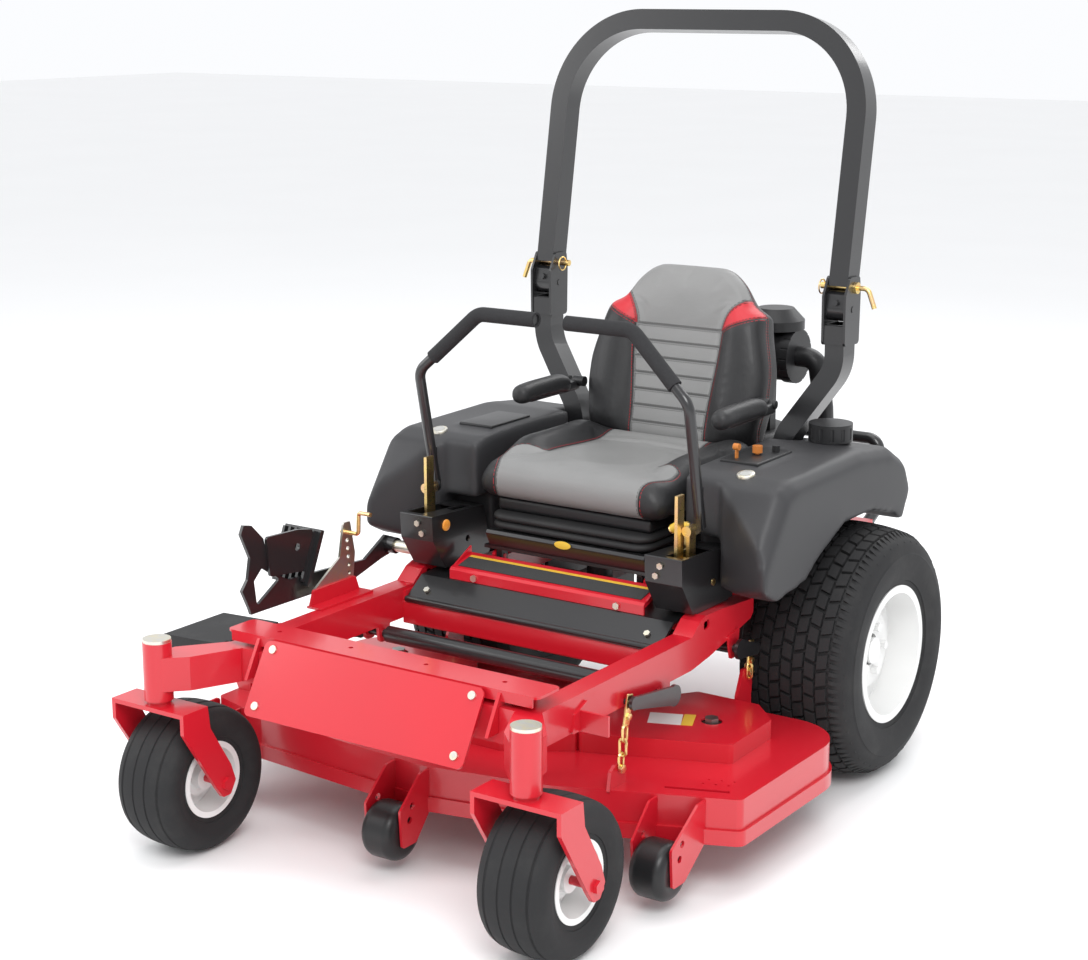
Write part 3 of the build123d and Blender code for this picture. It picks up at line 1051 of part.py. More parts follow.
def lift_pedal():
    """The foot pedal: a long plate with a window, a toe plate in front and the ribbed pad."""
    y, z = PEDAL_PIVOT
    arm = [(y + 22, z + 14), (y - 10, z + 26), (-652, 520), (-800, 530), (-930, 536), (-975, 560), (-1000, 606),
           (-1012, 652), (-1050, 690), (-1076, 696), (-1086, 676), (-1058, 616), (-1068, 568), (-1088, 545),
           (-1066, 500), (-1060, 484), (-1030, 484), (-700, 480), (y - 30, z - 30), (y + 16, z - 22)]
    plate = plate_x(arm, PEDAL_X - 8, PEDAL_X)
    plate -= plate_x([(-1040, 500), (-960, 545), (-1020, 585), (-1048, 560)], PEDAL_X - 9, PEDAL_X + 1, 6)
    toe = plate_x([(-1000, 560), (-860, 545), (-846, 560), (-850, 640), (-900, 650), (-1010, 655)], PEDAL_X, PEDAL_X + 7, 8)
    toe -= rod((PEDAL_X - 1, -905, 610), (PEDAL_X + 8, -905, 610), 9)
    pad = block((PEDAL_X - 92, PEDAL_X + 18), (-860, -848), (505, 640))
    for rib in range(6):
        x = PEDAL_X - 88 + rib * 18
        pad += block((x, x + 7), (-872, -860), (512, 634))
    pad = spin(pad, (PEDAL_X, -855, 570), (1, 0, 0), -24)
    hub = rod((PEDAL_X - 8, y, z), (PEDAL_X + 26, y, z), 20)
    shape = plate + toe + pad + hub
    return shape - rod((PEDAL_X - 20, y, z), (PEDAL_X + 40, y, z), 9 + FIT)


def pedal_mount():
    """The pivot pin of the foot pedal and the height selector plate, on the right tower."""
    y, z = PEDAL_PIVOT
    pin = rod((PEDAL_X - 12, y, z), (-TOWER_OUT, y, z), 9)
    collar = rod((PEDAL_X + 26 + GAP, y, z), (-TOWER_OUT, y, z), 15)
    return pin + collar


def selector():
    """The height selector: a plate with a row of pin holes on the red angle."""
    low = -RAIL_OUT - 26 - 6
    plate = plate_x([(-880, 474), (-738, 474), (-726, 560), (-742, 640), (-766, 640), (-782, 560), (-880, 500)],
                    low, low + 6, 5)
    for step in range(6):
        plate -= rod((low - 1, -756 + step * 1.5, 616 - step * 20), (low + 7, -756 + step * 1.5, 616 - step * 20), 5.1)
    plate += bolt((low, -850, 488), (-1, 0, 0), 10, 5)
    plate += bolt((low, -792, 488), (-1, 0, 0), 10, 5)
    return plate


def height_pin():
    """The yellow zinc pin with its bent handle, through the selector plate."""
    x = -RAIL_OUT - 26 + 14
    z = 616
    shank = rod((x - 30, -756, z), (x, -756, z), 5)
    grip = bar([(x, -756, z), (x + 22, -756, z), (x + 24, -756, z + 52), (x + 64, -762, z + 54)], 5, 8)
    return shank + grip


# ---- controls ----
def knob(x, y, radius, height, stem):
    low = POD_TOP + 1.5 + 5
    return rod((x, y, low + GAP), (x, y, low + height), stem) + rod((x, y, low + height - 6), (x, y, low + height + 10), radius)


def throttle_lever():
    x, y = THROTTLE
    z = POD_TOP + 6.5 + GAP + 5
    arm = rod((x - 2, y, z), (x + 2, y, z), 5) + block((x - 2, x + 2), (y - 5, y + 5), (z, z + 21))
    return arm + rod((x - 7, y, z + 25), (x + 7, y, z + 25), 8)


# ---- fasteners ----
def zinc_fasteners(pivot_y):
    """Grease caps, cover plate bolts and the visible bolt heads of the frame."""
    pieces = []
    for side in (1, -1):
        x = side * CASTER_HALF_TRACK
        pieces.append(rod((x, pivot_y, PIVOT_HIGH), (x, pivot_y, PIVOT_HIGH + 7), PIVOT_TUBE_R - 1))
    slope = radians(PLATE_TILT)
    for spot in plate_bolt_spots():
        pieces.append(Plane(origin=spot, z_dir=(0, -cos(slope), sin(slope))) * extrude(Circle(9), 4))
    for x in (-337, 337):
        pieces.append(bolt((x, TOWER_FRONT, 622), (0, -1, 0), 8, 6))
        pieces.append(bolt((x - 12 if x > 0 else x + 12, TOWER_FRONT + 1.6, 598), (0, -1, 0), 8, 6))
    for x in (-200, 200):
        pieces.append(bolt((x, -576, 498), (0, -1, 0), 9, 5))
    for side in (1, -1):
        pieces.append(bolt((side * 308, -618.3, 460.3), (0, -0.572, 0.82), 8, 6))
    return pieces


# ---- assembly ----
def build():
    """Every node by name, in the working frame."""
    pivot_y = -WHEELBASE - CASTER_TRAIL
    nodes = {}
    for side, place in ((1, "left"), (-1, "right")):
        x = side * CASTER_HALF_TRACK
        nodes[f"caster_fork_{place}"] = [caster_fork(x, pivot_y), caster_axle(x, pivot_y)]
        nodes[f"caster_rim_{place}"] = caster_rim(x, -WHEELBASE)
        nodes[f"caster_tyre_{place}"] = caster_tyre(x, -WHEELBASE)
        nodes[f"rear_rim_{place}"] = [rear_rim(side), wheel_hub(side)]
        nodes[f"rear_tyre_{place}"] = rear_tyre(side)
    nodes["side_rails"] = side_rails()
    nodes["front_axle"] = front_axle(pivot_y)
    ears, rest = seat_hinge()
    nodes["cross_members"] = cross_members() + ears + [rest]
    nodes["name_plate"] = name_plate()
    nodes["foot_pan"] = foot_pan()
    nodes["foot_rest"] = foot_rest()
    nodes["control_towers"] = both(control_tower())
    tanks, neck = pod()
    nodes["fuel_tanks"] = [tank - control_panel(side) for tank, side in zip(tanks, (1, -1))]
    nodes["fuel_tanks"] += [neck, control_panel(1), control_panel(-1)]
    nodes["rops_posts"] = rops_posts()
    nodes["engine"] = [engine(), muffler()]
    nodes["air_cleaner"] = air_cleaner()
    nodes["hydro_drives"] = hydro_drives()
    nodes["rear_guard"] = rear_guard() + tow_plate()
    nodes["zinc_fasteners"] = zinc_fasteners(pivot_y)
    for place, name in ((0, "left"), (1, "right")):
        nodes[f"lever_base_{name}"] = both(lever_base())[place]
        nodes[f"lap_bar_{name}"] = both(lap_bar())[place]
        nodes[f"lap_grip_{name}"] = both(lap_grip())[place]
        nodes[f"rops_pin_{name}"] = [both(piece)[place] for piece in rops_pin()]
        nodes[f"armrest_{name}"] = both(armrest())[place]
    nodes["rops_hoop"] = rops_hoop()
    nodes["seat_platform"] = seat_platform()
    nodes["seat_cushion"] = seat_cushion()
    nodes["seat_back"] = seat_back()
    nodes["deck_shell"] = deck_shell()
    nodes["belt_covers"] = belt_covers()
    nodes["spindle_housings"] = spindle_housings()
    nodes["deck_hangers"] = deck_hangers()
    nodes["discharge_chute"] = discharge_chute()
    for place in SPINDLES:
        nodes[f"blade_spindle_{place}"] = blade_spindle(place)
    for place, spot in ROLLERS.items():
        nodes[f"roller_{place}"] = roller(*spot)
    nodes["lift_shaft_front"] = lift_shaft(LIFT_FRONT, FRONT_TIP)
    nodes["lift_shaft_rear"] = lift_shaft(LIFT_REAR, REAR_TIP)
    nodes["lift_pedal"] = lift_pedal()
    nodes["lift_selector"] = [selector(), pedal_mount()]
    nodes["height_pin"] = height_pin()
    nodes["park_brake"] = park_brake()
    nodes["fuel_cap"] = fuel_cap()
    nodes["throttle_lever"] = throttle_lever()
    nodes["pto_switch"] = knob(372, -240, 12, 14, 5)
    nodes["ignition_key"] = knob(394, -190, 9, 8, 6)
    nodes["clutch_pulley"] = clutch_pulley()
    return nodes


def shift_to_origin(nodes):
    """The move that puts the origin under the middle of the whole object, on the ground."""
    boxes = [solid.bounding_box() for shape in nodes.values() for solid in solids(shape)]
    low = [min(getattr(box.min, axis) for box in boxes) for axis in "XYZ"]
    high = [max(getattr(box.max, axis) for box in boxes) for axis in "XYZ"]
    return Pos(-(low[0] + high[0]) / 2, -(low[1] + high[1]) / 2, -low[2])


def write(nodes):
    os.makedirs("parts", exist_ok=True)
    shift = shift_to_origin(nodes)
    print("SHIFT", tuple(shift.position))
    for name, shape in nodes.items():
        moved = [shift * solid for solid in solids(shape)]
        export_step(Compound(children=moved), f"parts/{name}.step")


write(build())
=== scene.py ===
"""The looks of the zero turn mower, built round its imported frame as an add-on that also runs as a script."""

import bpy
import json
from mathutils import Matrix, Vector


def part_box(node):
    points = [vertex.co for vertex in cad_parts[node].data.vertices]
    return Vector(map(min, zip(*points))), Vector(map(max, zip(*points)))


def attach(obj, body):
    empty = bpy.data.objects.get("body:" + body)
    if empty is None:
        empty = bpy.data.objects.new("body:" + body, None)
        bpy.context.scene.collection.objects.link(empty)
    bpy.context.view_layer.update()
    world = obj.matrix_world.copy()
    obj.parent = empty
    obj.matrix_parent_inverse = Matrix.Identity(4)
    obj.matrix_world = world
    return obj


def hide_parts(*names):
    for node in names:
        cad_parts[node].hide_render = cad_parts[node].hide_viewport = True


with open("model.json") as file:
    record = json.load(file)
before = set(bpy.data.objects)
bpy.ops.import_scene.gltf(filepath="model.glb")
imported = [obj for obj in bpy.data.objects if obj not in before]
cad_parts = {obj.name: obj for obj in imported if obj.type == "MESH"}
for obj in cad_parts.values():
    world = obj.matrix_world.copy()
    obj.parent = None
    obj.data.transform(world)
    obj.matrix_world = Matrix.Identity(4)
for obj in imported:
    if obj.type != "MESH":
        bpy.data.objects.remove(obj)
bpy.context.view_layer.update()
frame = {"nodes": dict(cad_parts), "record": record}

import json
import math
from math import cos, pi, radians, sin

import bmesh
import bpy
from mathutils import Matrix, Vector
from mathutils.bvhtree import BVHTree

bl_info = {
    "name": "Zero turn mower looks",
    "version": (1, 0, 0),
    "blender": (4, 5, 0),
    "location": "View3D > Sidebar > Mower",
    "description": "Builds the visible surfaces of the zero turn mower round its packed frame",
    "category": "Object",
}


# ---- places ----
def middle(node):
    """The centre of a CAD node's box."""
    low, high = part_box(node)
    return (low + high) / 2


AXLE = (middle("rear_tyre_left") + middle("rear_tyre_right")) / 2
BASE = Vector((AXLE.x, AXLE.y, 0.0))


def at(x, y, z):
    """A place given in millimetres from the ground under the middle of the rear axle."""
    return BASE + Vector((x, y, z)) / 1000


# ---- shader sums ----
class Value:
    """A socket of a material, usable in sums with plain numbers on either side."""

    def __init__(self, paint, socket):
        self.paint = paint
        self.socket = socket

    def math(self, operation, *values):
        return self.paint.node("ShaderNodeMath", {"operation": operation}, values)

    def __add__(self, other):
        return self.math("ADD", self, other)

    __radd__ = __add__

    def __sub__(self, other):
        return self.math("SUBTRACT", self, other)

    def __rsub__(self, other):
        return self.math("SUBTRACT", other, self)

    def __mul__(self, other):
        return self.math("MULTIPLY", self, other)

    __rmul__ = __mul__

    def __gt__(self, other):
        return self.math("GREATER_THAN", self, other)

    def __lt__(self, other):
        return self.math("LESS_THAN", self, other)

    def size(self):
        return self.math("ABSOLUTE", self)

    def sine(self):
        return self.math("SINE", self)

    def kept(self, low, high):
        return self.math("MINIMUM", self.math("MAXIMUM", self, low), high)


class Paint:
    """A material under construction. Every node comes from its node method."""

    def __init__(self, name):
        self.material = bpy.data.materials.new(name)
        self.material.use_nodes = True
        self.tree = self.material.node_tree
        self.shader = next(n for n in self.tree.nodes if n.type == "BSDF_PRINCIPLED")
        self.place = self.node("ShaderNodeTexCoord", output="Object")

    def node(self, kind, settings=None, inputs=(), output=0):
        made = self.tree.nodes.new(kind)
        for key, value in (settings or {}).items():
            setattr(made, key, value)
        entries = inputs.items() if isinstance(inputs, dict) else enumerate(inputs)
        for key, value in entries:
            self.feed(made.inputs[key], value)
        return Value(self, made.outputs[output])

    def feed(self, socket, value):
        if isinstance(value, Value):
            self.tree.links.new(value.socket, socket)
        else:
            socket.default_value = value

    def set(self, **inputs):
        names = {"colour": "Base Color", "coat": "Coat Weight", "coat_roughness": "Coat Roughness",
                 "specular": "Specular IOR Level", "sheen": "Sheen Weight"}
        for key, value in inputs.items():
            self.feed(self.shader.inputs[names.get(key, key.capitalize())], value)
        return self

    def noise(self, scale, detail=3.0, rough=0.5, place=None):
        return self.node("ShaderNodeTexNoise", {}, {"Vector": place or self.place, "Scale": scale,
                                                    "Detail": detail, "Roughness": rough})

    def cells(self, scale):
        return self.node("ShaderNodeTexVoronoi", {"feature": "F1"},
                         {"Vector": self.place, "Scale": scale}, "Distance")

    def stretched(self, x, y, z):
        return self.node("ShaderNodeVectorMath", {"operation": "MULTIPLY"}, [self.place, (x, y, z)])

    def blend(self, first, second, share):
        """One colour turning into another as share goes from 0 to 1."""
        return self.node("ShaderNodeMix", {"data_type": "RGBA"}, {0: share, 6: first, 7: second}, 2)

    def held(self, name):
        """A number stored on the mesh."""
        return self.node("ShaderNodeAttribute", {"attribute_name": name}, output="Fac")

    def bump(self, height, distance):
        normal = self.node("ShaderNodeBump", {}, {"Height": height, "Distance": distance})
        self.feed(self.shader.inputs["Normal"], normal)
        return self


def rgb(r, g, b):
    return (r, g, b, 1.0)


# ---- materials ----
def painted(name, colour, shade, roughness, coat, peel=0.00006):
    """Powder coat: slight orange peel, uneven gloss and faint handling marks."""
    p = Paint(name)
    cloud = p.noise(3.0, 4.0)
    marks = p.noise(1.0, 6.0, 0.7, p.stretched(30, 9, 30))
    rub = ((marks - 0.62) * 6).kept(0, 1)
    p.set(colour=p.blend(colour, shade, (cloud - 0.35).kept(0, 1) * 0.8),
          roughness=roughness + (cloud - 0.5) * 0.08 + rub * 0.12, coat=coat, coat_roughness=0.12)
    return p.bump(p.noise(420, 2.0) * 0.7 + p.noise(90, 2.0) * 0.6, peel).material


def metal(name, colour, tint, roughness, scale=180):
    """Plated or machined steel with fine brushing and patchy tint."""
    p = Paint(name)
    patch = p.noise(scale / 3, 3.0)
    brush = p.noise(14, 4.0, 0.6, p.stretched(6, 6, 90))
    p.set(colour=p.blend(colour, tint, ((patch - 0.4) * 2.5).kept(0, 1)), metallic=1.0,
          roughness=roughness + (brush - 0.5) * 0.25)
    return p.bump(brush + p.noise(scale * 6, 2.0) * 0.4, 0.00008).material


def plastic(name, colour, shade, roughness, pebble, depth):
    """Moulded plastic with a pebbled texture and slightly polished patches."""
    p = Paint(name)
    cloud = p.noise(5, 4.0)
    texture = p.cells(pebble) + p.noise(pebble * 1.7, 2.0) * 0.5
    p.set(colour=p.blend(colour, shade, (cloud - 0.3).kept(0, 1)), roughness=roughness + (cloud - 0.5) * 0.18,
          specular=0.4)
    return p.bump(texture, depth).material


def rubber(name, colour, dusty, roughness):
    """Tyre and moulded rubber: fine pores, mould sheen and a little dust in patches."""
    p = Paint(name)
    dust = ((p.noise(9, 5.0, 0.65) - 0.5) * 3).kept(0, 1)
    fine = p.noise(700, 2.0)
    p.set(colour=p.blend(colour, dusty, dust * 0.5), roughness=roughness - dust * 0.08 + (fine - 0.5) * 0.1,
          specular=0.3)
    return p.bump(fine + p.cells(260) * 0.4, 0.00012).material


def foam(name):
    """Closed-cell grip foam with open pores."""
    p = Paint(name)
    pores = p.cells(900)
    p.set(colour=p.blend(rgb(0.010, 0.010, 0.011), rgb(0.035, 0.035, 0.037), pores.kept(0, 1)),
          roughness=0.82 - p.noise(30) * 0.12, specular=0.25)
    return p.bump(pores + p.noise(160, 3.0) * 0.5, 0.0002).material


def vinyl(name, colour, shade, thread):
    """Grained vinyl with wrinkles, sunken valleys at the seams whose colour is darkened as painted shade, and
    a row of stitches beside each seam.
    """
    p = Paint(name)
    grain = p.cells(620) + p.cells(1500) * 0.5
    wrinkle = p.noise(26, 5.0, 0.62, p.stretched(1.0, 1.6, 1.0))
    seam, run = p.held("seam").size(), p.held("run")
    seam_hollow_and_painted_shade = (1 - seam * 260).kept(0, 1)
    row = ((seam - 0.0045).size() < 0.0008) * ((run * 900).sine() > -0.35)
    worn = ((p.noise(7, 4.0) - 0.45) * 2).kept(0, 1)
    # painted shade: the colour goes nearly black in the hollow along each seam, where shadow would fall
    base = p.blend(p.blend(colour, shade, worn * 0.6), rgb(0.012, 0.012, 0.012), seam_hollow_and_painted_shade * 0.8)
    p.set(colour=p.blend(base, thread, row), roughness=0.44 + (grain - 0.5) * 0.10 - worn * 0.06 + row * 0.3,
          specular=0.42, coat=0.06)
    return p.bump(grain * 0.35 + wrinkle * 1.6 + row * 1.3 - seam_hollow_and_painted_shade * 3.5, 0.0006).material


def cast(name, colour, shade):
    """Sand-cast metal under black paint."""
    p = Paint(name)
    rough = p.noise(160, 5.0, 0.7)
    p.set(colour=p.blend(colour, shade, rough), roughness=0.5 + (p.noise(12) - 0.5) * 0.3, metallic=0.35)
    return p.bump(rough + p.cells(90) * 0.3, 0.0005).material


def grip_tape(name):
    """Black grit with a yellow edge: the stored number across tells the band."""
    p = Paint(name)
    across = p.held("across").size()
    grit = p.cells(1400)
    edge = (across > 0.5) * 1.0
    p.set(colour=p.blend(p.blend(rgb(0.012, 0.012, 0.012), rgb(0.06, 0.06, 0.06), grit),
                         rgb(0.72, 0.43, 0.03), edge), roughness=0.85 - edge * 0.2)
    return p.bump(grit, 0.0005).material


def reflector(name, colour):
    """Amber plastic with a prism pattern."""
    p = Paint(name)
    prism = p.cells(420)
    p.set(colour=p.blend(colour, rgb(0.9, 0.45, 0.08), prism.kept(0, 1)),
          roughness=0.12 + prism * 0.1, coat=0.8)
    return p.bump(prism, 0.0004).material


MATERIALS = {}


def make_materials():
    """Fills MATERIALS: the record's slots, and the finishes that only the visible pieces have."""
    MATERIALS.update({
        "red_paint": painted(
            "Red powder coat", rgb(0.56, 0.010, 0.022), rgb(0.44, 0.006, 0.015), 0.30, 0.45),
        "black_paint": painted(
            "Black powder coat", rgb(0.011, 0.011, 0.012), rgb(0.02, 0.02, 0.021), 0.30, 0.4),
        "white_rim": painted(
            "White rim paint", rgb(0.80, 0.80, 0.79), rgb(0.66, 0.66, 0.65), 0.32, 0.3, 0.0001),
        "zinc": metal("Zinc plate", rgb(0.72, 0.70, 0.64), rgb(0.80, 0.72, 0.50), 0.34),
        "yellow_zinc": metal("Yellow zinc plate", rgb(0.83, 0.62, 0.24), rgb(0.80, 0.50, 0.32), 0.30, 120),
        "blade_steel": metal("Worn steel", rgb(0.36, 0.35, 0.34), rgb(0.22, 0.20, 0.18), 0.42, 60),
        "tyre_rubber": rubber("Tyre rubber", rgb(0.018, 0.018, 0.019), rgb(0.040, 0.039, 0.037), 0.70),
        "chute_rubber": rubber("Chute rubber", rgb(0.020, 0.020, 0.021), rgb(0.035, 0.034, 0.033), 0.62),
        "tank_plastic": plastic(
            "Tank plastic", rgb(0.028, 0.028, 0.030), rgb(0.045, 0.045, 0.048), 0.47, 700, 0.0001),
        "black_plastic": plastic(
            "Black plastic", rgb(0.012, 0.012, 0.013), rgb(0.022, 0.022, 0.023), 0.38, 900, 0.00006),
        "roller_plastic": plastic(
            "Roller plastic", rgb(0.010, 0.010, 0.011), rgb(0.02, 0.02, 0.02), 0.33, 300, 0.00008),
        "orange_plastic": plastic(
            "Orange knob", rgb(0.50, 0.16, 0.03), rgb(0.62, 0.25, 0.05), 0.30, 800, 0.00004),
        "gauge_face": plastic(
            "Gauge face", rgb(0.42, 0.42, 0.40), rgb(0.30, 0.30, 0.29), 0.25, 300, 0.00002),
        "yellow_label": plastic(
            "Yellow label", rgb(0.72, 0.47, 0.05), rgb(0.64, 0.40, 0.04), 0.42, 400, 0.00002),
        "white_label": plastic(
            "White label", rgb(0.72, 0.72, 0.70), rgb(0.60, 0.60, 0.59), 0.42, 400, 0.00002),
        "foam": foam("Grip foam"),
        "vinyl": vinyl(
            "Black vinyl", rgb(0.014, 0.014, 0.015), rgb(0.028, 0.028, 0.030), rgb(0.42, 0.02, 0.03)),
        "vinyl_grey": vinyl(
            "Grey vinyl", rgb(0.215, 0.215, 0.212), rgb(0.165, 0.165, 0.163), rgb(0.07, 0.07, 0.07)),
        "vinyl_red": vinyl(
            "Red vinyl", rgb(0.50, 0.018, 0.028), rgb(0.42, 0.012, 0.02), rgb(0.02, 0.02, 0.02)),
        "cast_metal": cast("Cast housing", rgb(0.020, 0.020, 0.021), rgb(0.055, 0.055, 0.056)),
        "grip_tape": grip_tape("Grip tape"),
        "reflector": reflector("Amber reflector", rgb(0.80, 0.22, 0.02)),
    })


# ---- mesh helpers ----
def flat_mesh(name, verts, faces, material, body, record_slot):
    """A new flat-shaded mesh that moves with a CAD body."""
    mesh = bpy.data.meshes.new(name)
    mesh.from_pydata([tuple(v) for v in verts], [], faces)
    mesh.validate()
    obj = bpy.data.objects.new(name, mesh)
    bpy.context.scene.collection.objects.link(obj)
    dress(obj, material, smooth=False)
    return place(obj, body, record_slot)


def dress(obj, material, smooth=True):
    """One material and its shading for a whole object."""
    obj.data.materials.clear()
    obj.data.materials.append(MATERIALS[material])
    for face in obj.data.polygons:
        face.use_smooth = smooth
    if smooth:
        obj.data.set_sharp_from_angle(angle=radians(38))
    return obj


def place(obj, body, record_slot):
    """Puts an object on its CAD body; the record slot is only looked up, and no slot is given to the object.
    """
    slots = {m["slot"] for m in frame["record"]["materials"]}
    record_slot in slots
    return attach(obj, body)


def from_bmesh(name, bm, material, body, record_slot=None):
    """A new object from a finished bmesh, on a CAD body."""
    bmesh.ops.recalc_face_normals(bm, faces=bm.faces)
    mesh = bpy.data.meshes.new(name)
    bm.to_mesh(mesh)
    bm.free()
    obj = bpy.data.objects.new(name, mesh)
    bpy.context.scene.collection.objects.link(obj)
    dress(obj, material)
    return place(obj, body, record_slot or material)


def lathe(bm, profile, centre, steps=96, closed=False):
    """Adds a surface turned about the X axis from (along, radius) pairs in metres."""
    rings = []
    for along, radius in profile:
        rings.append([bm.verts.new(centre + Vector((along, radius * cos(t), radius * sin(t))))
                      for t in (2 * pi * i / steps for i in range(steps))])
    pairs = list(zip(rings, rings[1:])) + ([(rings[-1], rings[0])] if closed else [])
    for near, far in pairs:
        for i in range(steps):
            j = (i + 1) % steps
            bm.faces.new((near[i], near[j], far[j], far[i]))
    return bm


def sweep(bm, points, radius, sides=12, closed=False):
    """Adds a round tube along points, with turned frames that don't twist."""
    points = [Vector(p) for p in points]
    count = len(points)
    rings, side = [], None
    for i, point in enumerate(points):
        before = points[i - 1] if (i or closed) else point
        after = points[(i + 1) % count] if (i < count - 1 or closed) else point
        ahead = (after - before).normalized()
        if side is None:
            side = ahead.orthogonal().normalized()
        side = (side - ahead * side.dot(ahead)).normalized()
        up = ahead.cross(side)
        rings.append([bm.verts.new(point + (side * cos(t) + up * sin(t)) * radius)
                      for t in (2 * pi * k / sides for k in range(sides))])
    for near, far in list(zip(rings, rings[1:])) + ([(rings[-1], rings[0])] if closed else []):
        for i in range(sides):
            j = (i + 1) % sides
            bm.faces.new((near[i], near[j], far[j], far[i]))
    if not closed:
        bm.faces.new(rings[0])
        bm.faces.new(rings[-1])
    return bm


def slab(bm, low, high, bevel=0.0):
    """Adds a box between two corners, with its edges rounded."""
    made = bmesh.ops.create_cube(bm, size=1.0)["verts"]
    low, high = Vector(low), Vector(high)
    for v in made:
        v.co = Vector([(high[k] + low[k]) / 2 + v.co[k] * (high[k] - low[k]) for k in range(3)])
    if bevel:
        edges = {e for v in made for e in v.link_edges}
        bmesh.ops.bevel(bm, geom=list(edges), offset=bevel, segments=3, profile=0.6, affect="EDGES")
    return bm


def disc(bm, centre, axis, radius, height, rim=0.0, sides=32):
    """Adds a low round button whose top edge is rounded."""
    axis = Vector(axis).normalized()
    side = axis.orthogonal().normalized()
    up = axis.cross(side)
    rim = rim or height * 0.3
    steps = [(0.0, radius), (height - rim, radius), (height - rim * 0.3, radius - rim * 0.3),
             (height, radius - rim)]
    rings = [[bm.verts.new(Vector(centre) + axis * h + (side * cos(t) + up * sin(t)) * r)
              for t in (2 * pi * k / sides for k in range(sides))] for h, r in steps]
    for near, far in zip(rings, rings[1:]):
        for i in range(sides):
            j = (i + 1) % sides
            bm.faces.new((near[i], near[j], far[j], far[i]))
    bm.faces.new(rings[0])
    bm.faces.new(rings[-1])
    return bm


# ---- tyres ----
TREAD_HALF, TREAD_ROWS = 0.1025, 7      # half the width of the bricks' band, and its rows
GROOVE_HALF, BRICK_DEPTH = 0.0019, 0.0095
BRICK_SHARE, TREAD_LEAN, ROW_STEP = 0.84, 0.16, 0.44    # shares of a pitch
LUG_START, LUG_END, LUG_SHORTER = 0.105, 0.1375, 0.007
LUG_DEPTH, LUG_SHARE = 0.008, 0.62


def mirrored(half, middle_radius):
    """A tyre's outline from its left half, given as (along, radius) pairs from the rim to the crown."""
    return half + [(0.0, middle_radius)] + [(-x, r) for x, r in reversed(half)]


def tread_block(bm, crown, low_x, high_x, turn, wide, skew, depth, draft=0.0012, steps=2):
    """One rubber block bent round the tyre: its ends lie along X and its sides lean by skew radians."""
    def corner(x, angle, drop):
        radius = crown(x) - drop
        return bm.verts.new(Vector((x, radius * cos(angle), radius * sin(angle))))

    grid = []
    for level, inset in ((depth, 0.0), (0.0, draft)):
        rows = []
        for i in range(steps + 1):
            share = i / steps
            x = low_x + inset + (high_x - low_x - 2 * inset) * share
            start = turn + skew * share + inset / crown(x)
            end = turn + wide + skew * share - inset / crown(x)
            rows.append([corner(x, start + (end - start) * k / 2, level) for k in range(3)])
        grid.append(rows)
    foot, top = grid
    for i in range(steps):
        for k in range(2):
            bm.faces.new((top[i][k], top[i][k + 1], top[i + 1][k + 1], top[i + 1][k]))
        bm.faces.new((foot[i][0], top[i][0], top[i + 1][0], foot[i + 1][0]))
        bm.faces.new((foot[i][2], foot[i + 1][2], top[i + 1][2], top[i][2]))
    for k in range(2):
        bm.faces.new((foot[0][k], foot[0][k + 1], top[0][k + 1], top[0][k]))
        bm.faces.new((foot[-1][k], top[-1][k], top[-1][k + 1], foot[-1][k + 1]))


def rear_crown(x):
    """The radius of the tread's surface at a distance from the tyre's middle."""
    return 0.3045 - 0.013 * (abs(x) / 0.12) ** 2.4 - (0.55 * (abs(x) - 0.112) if abs(x) > 0.112 else 0)


def rear_tyre(place_name, settings):
    """A turf tyre: stepped rows of skewed bricks, long shoulder lugs and ringed sidewalls."""
    node = f"rear_tyre_{place_name}"
    centre, bm = middle(node), bmesh.new()
    half = [(0.126, 0.1555), (0.1295, 0.166), (0.134, 0.180), (0.1375, 0.181), (0.1385, 0.186),
            (0.1445, 0.204), (0.1478, 0.226), (0.1475, 0.245), (0.1455, 0.247), (0.1445, 0.251),
            (0.1405, 0.266), (0.131, 0.279), (0.118, 0.2865), (0.09, 0.291), (0.045, 0.2945)]
    profile = mirrored(half, 0.2955)
    inside = [(-0.112, 0.170), (0.112, 0.170)]
    lathe(bm, profile + inside, Vector((0, 0, 0)), 128, closed=True)
    count = settings.tread_pitches
    pitch, width = 2 * pi / count, 2 * TREAD_HALF / TREAD_ROWS
    lean = pitch * TREAD_LEAN
    for row in range(TREAD_ROWS):
        low_x = -TREAD_HALF + row * width
        row_lean = lean if row % 2 else -lean
        step = pitch * ROW_STEP * abs(row - (TREAD_ROWS - 1) / 2)
        for k in range(count):
            tread_block(bm, rear_crown, low_x + GROOVE_HALF, low_x + width - GROOVE_HALF,
                        pitch * k + step - row_lean / 2, pitch * BRICK_SHARE, row_lean, BRICK_DEPTH)
    for edge in (1, -1):
        for k in range(count * 2):
            outer = LUG_END if k % 2 == 0 else LUG_END - LUG_SHORTER
            low_x, high_x = sorted((edge * LUG_START, edge * outer))
            tread_block(bm, rear_crown, low_x, high_x, pitch * (k / 2 + 0.2), pitch / 2 * LUG_SHARE,
                        edge * lean, LUG_DEPTH, steps=4)
    bmesh.ops.translate(bm, verts=bm.verts, vec=centre)
    obj = from_bmesh(f"turf_tyre_{place_name}", bm, "tyre_rubber", f"drive_wheel_{place_name}")
    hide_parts(node)


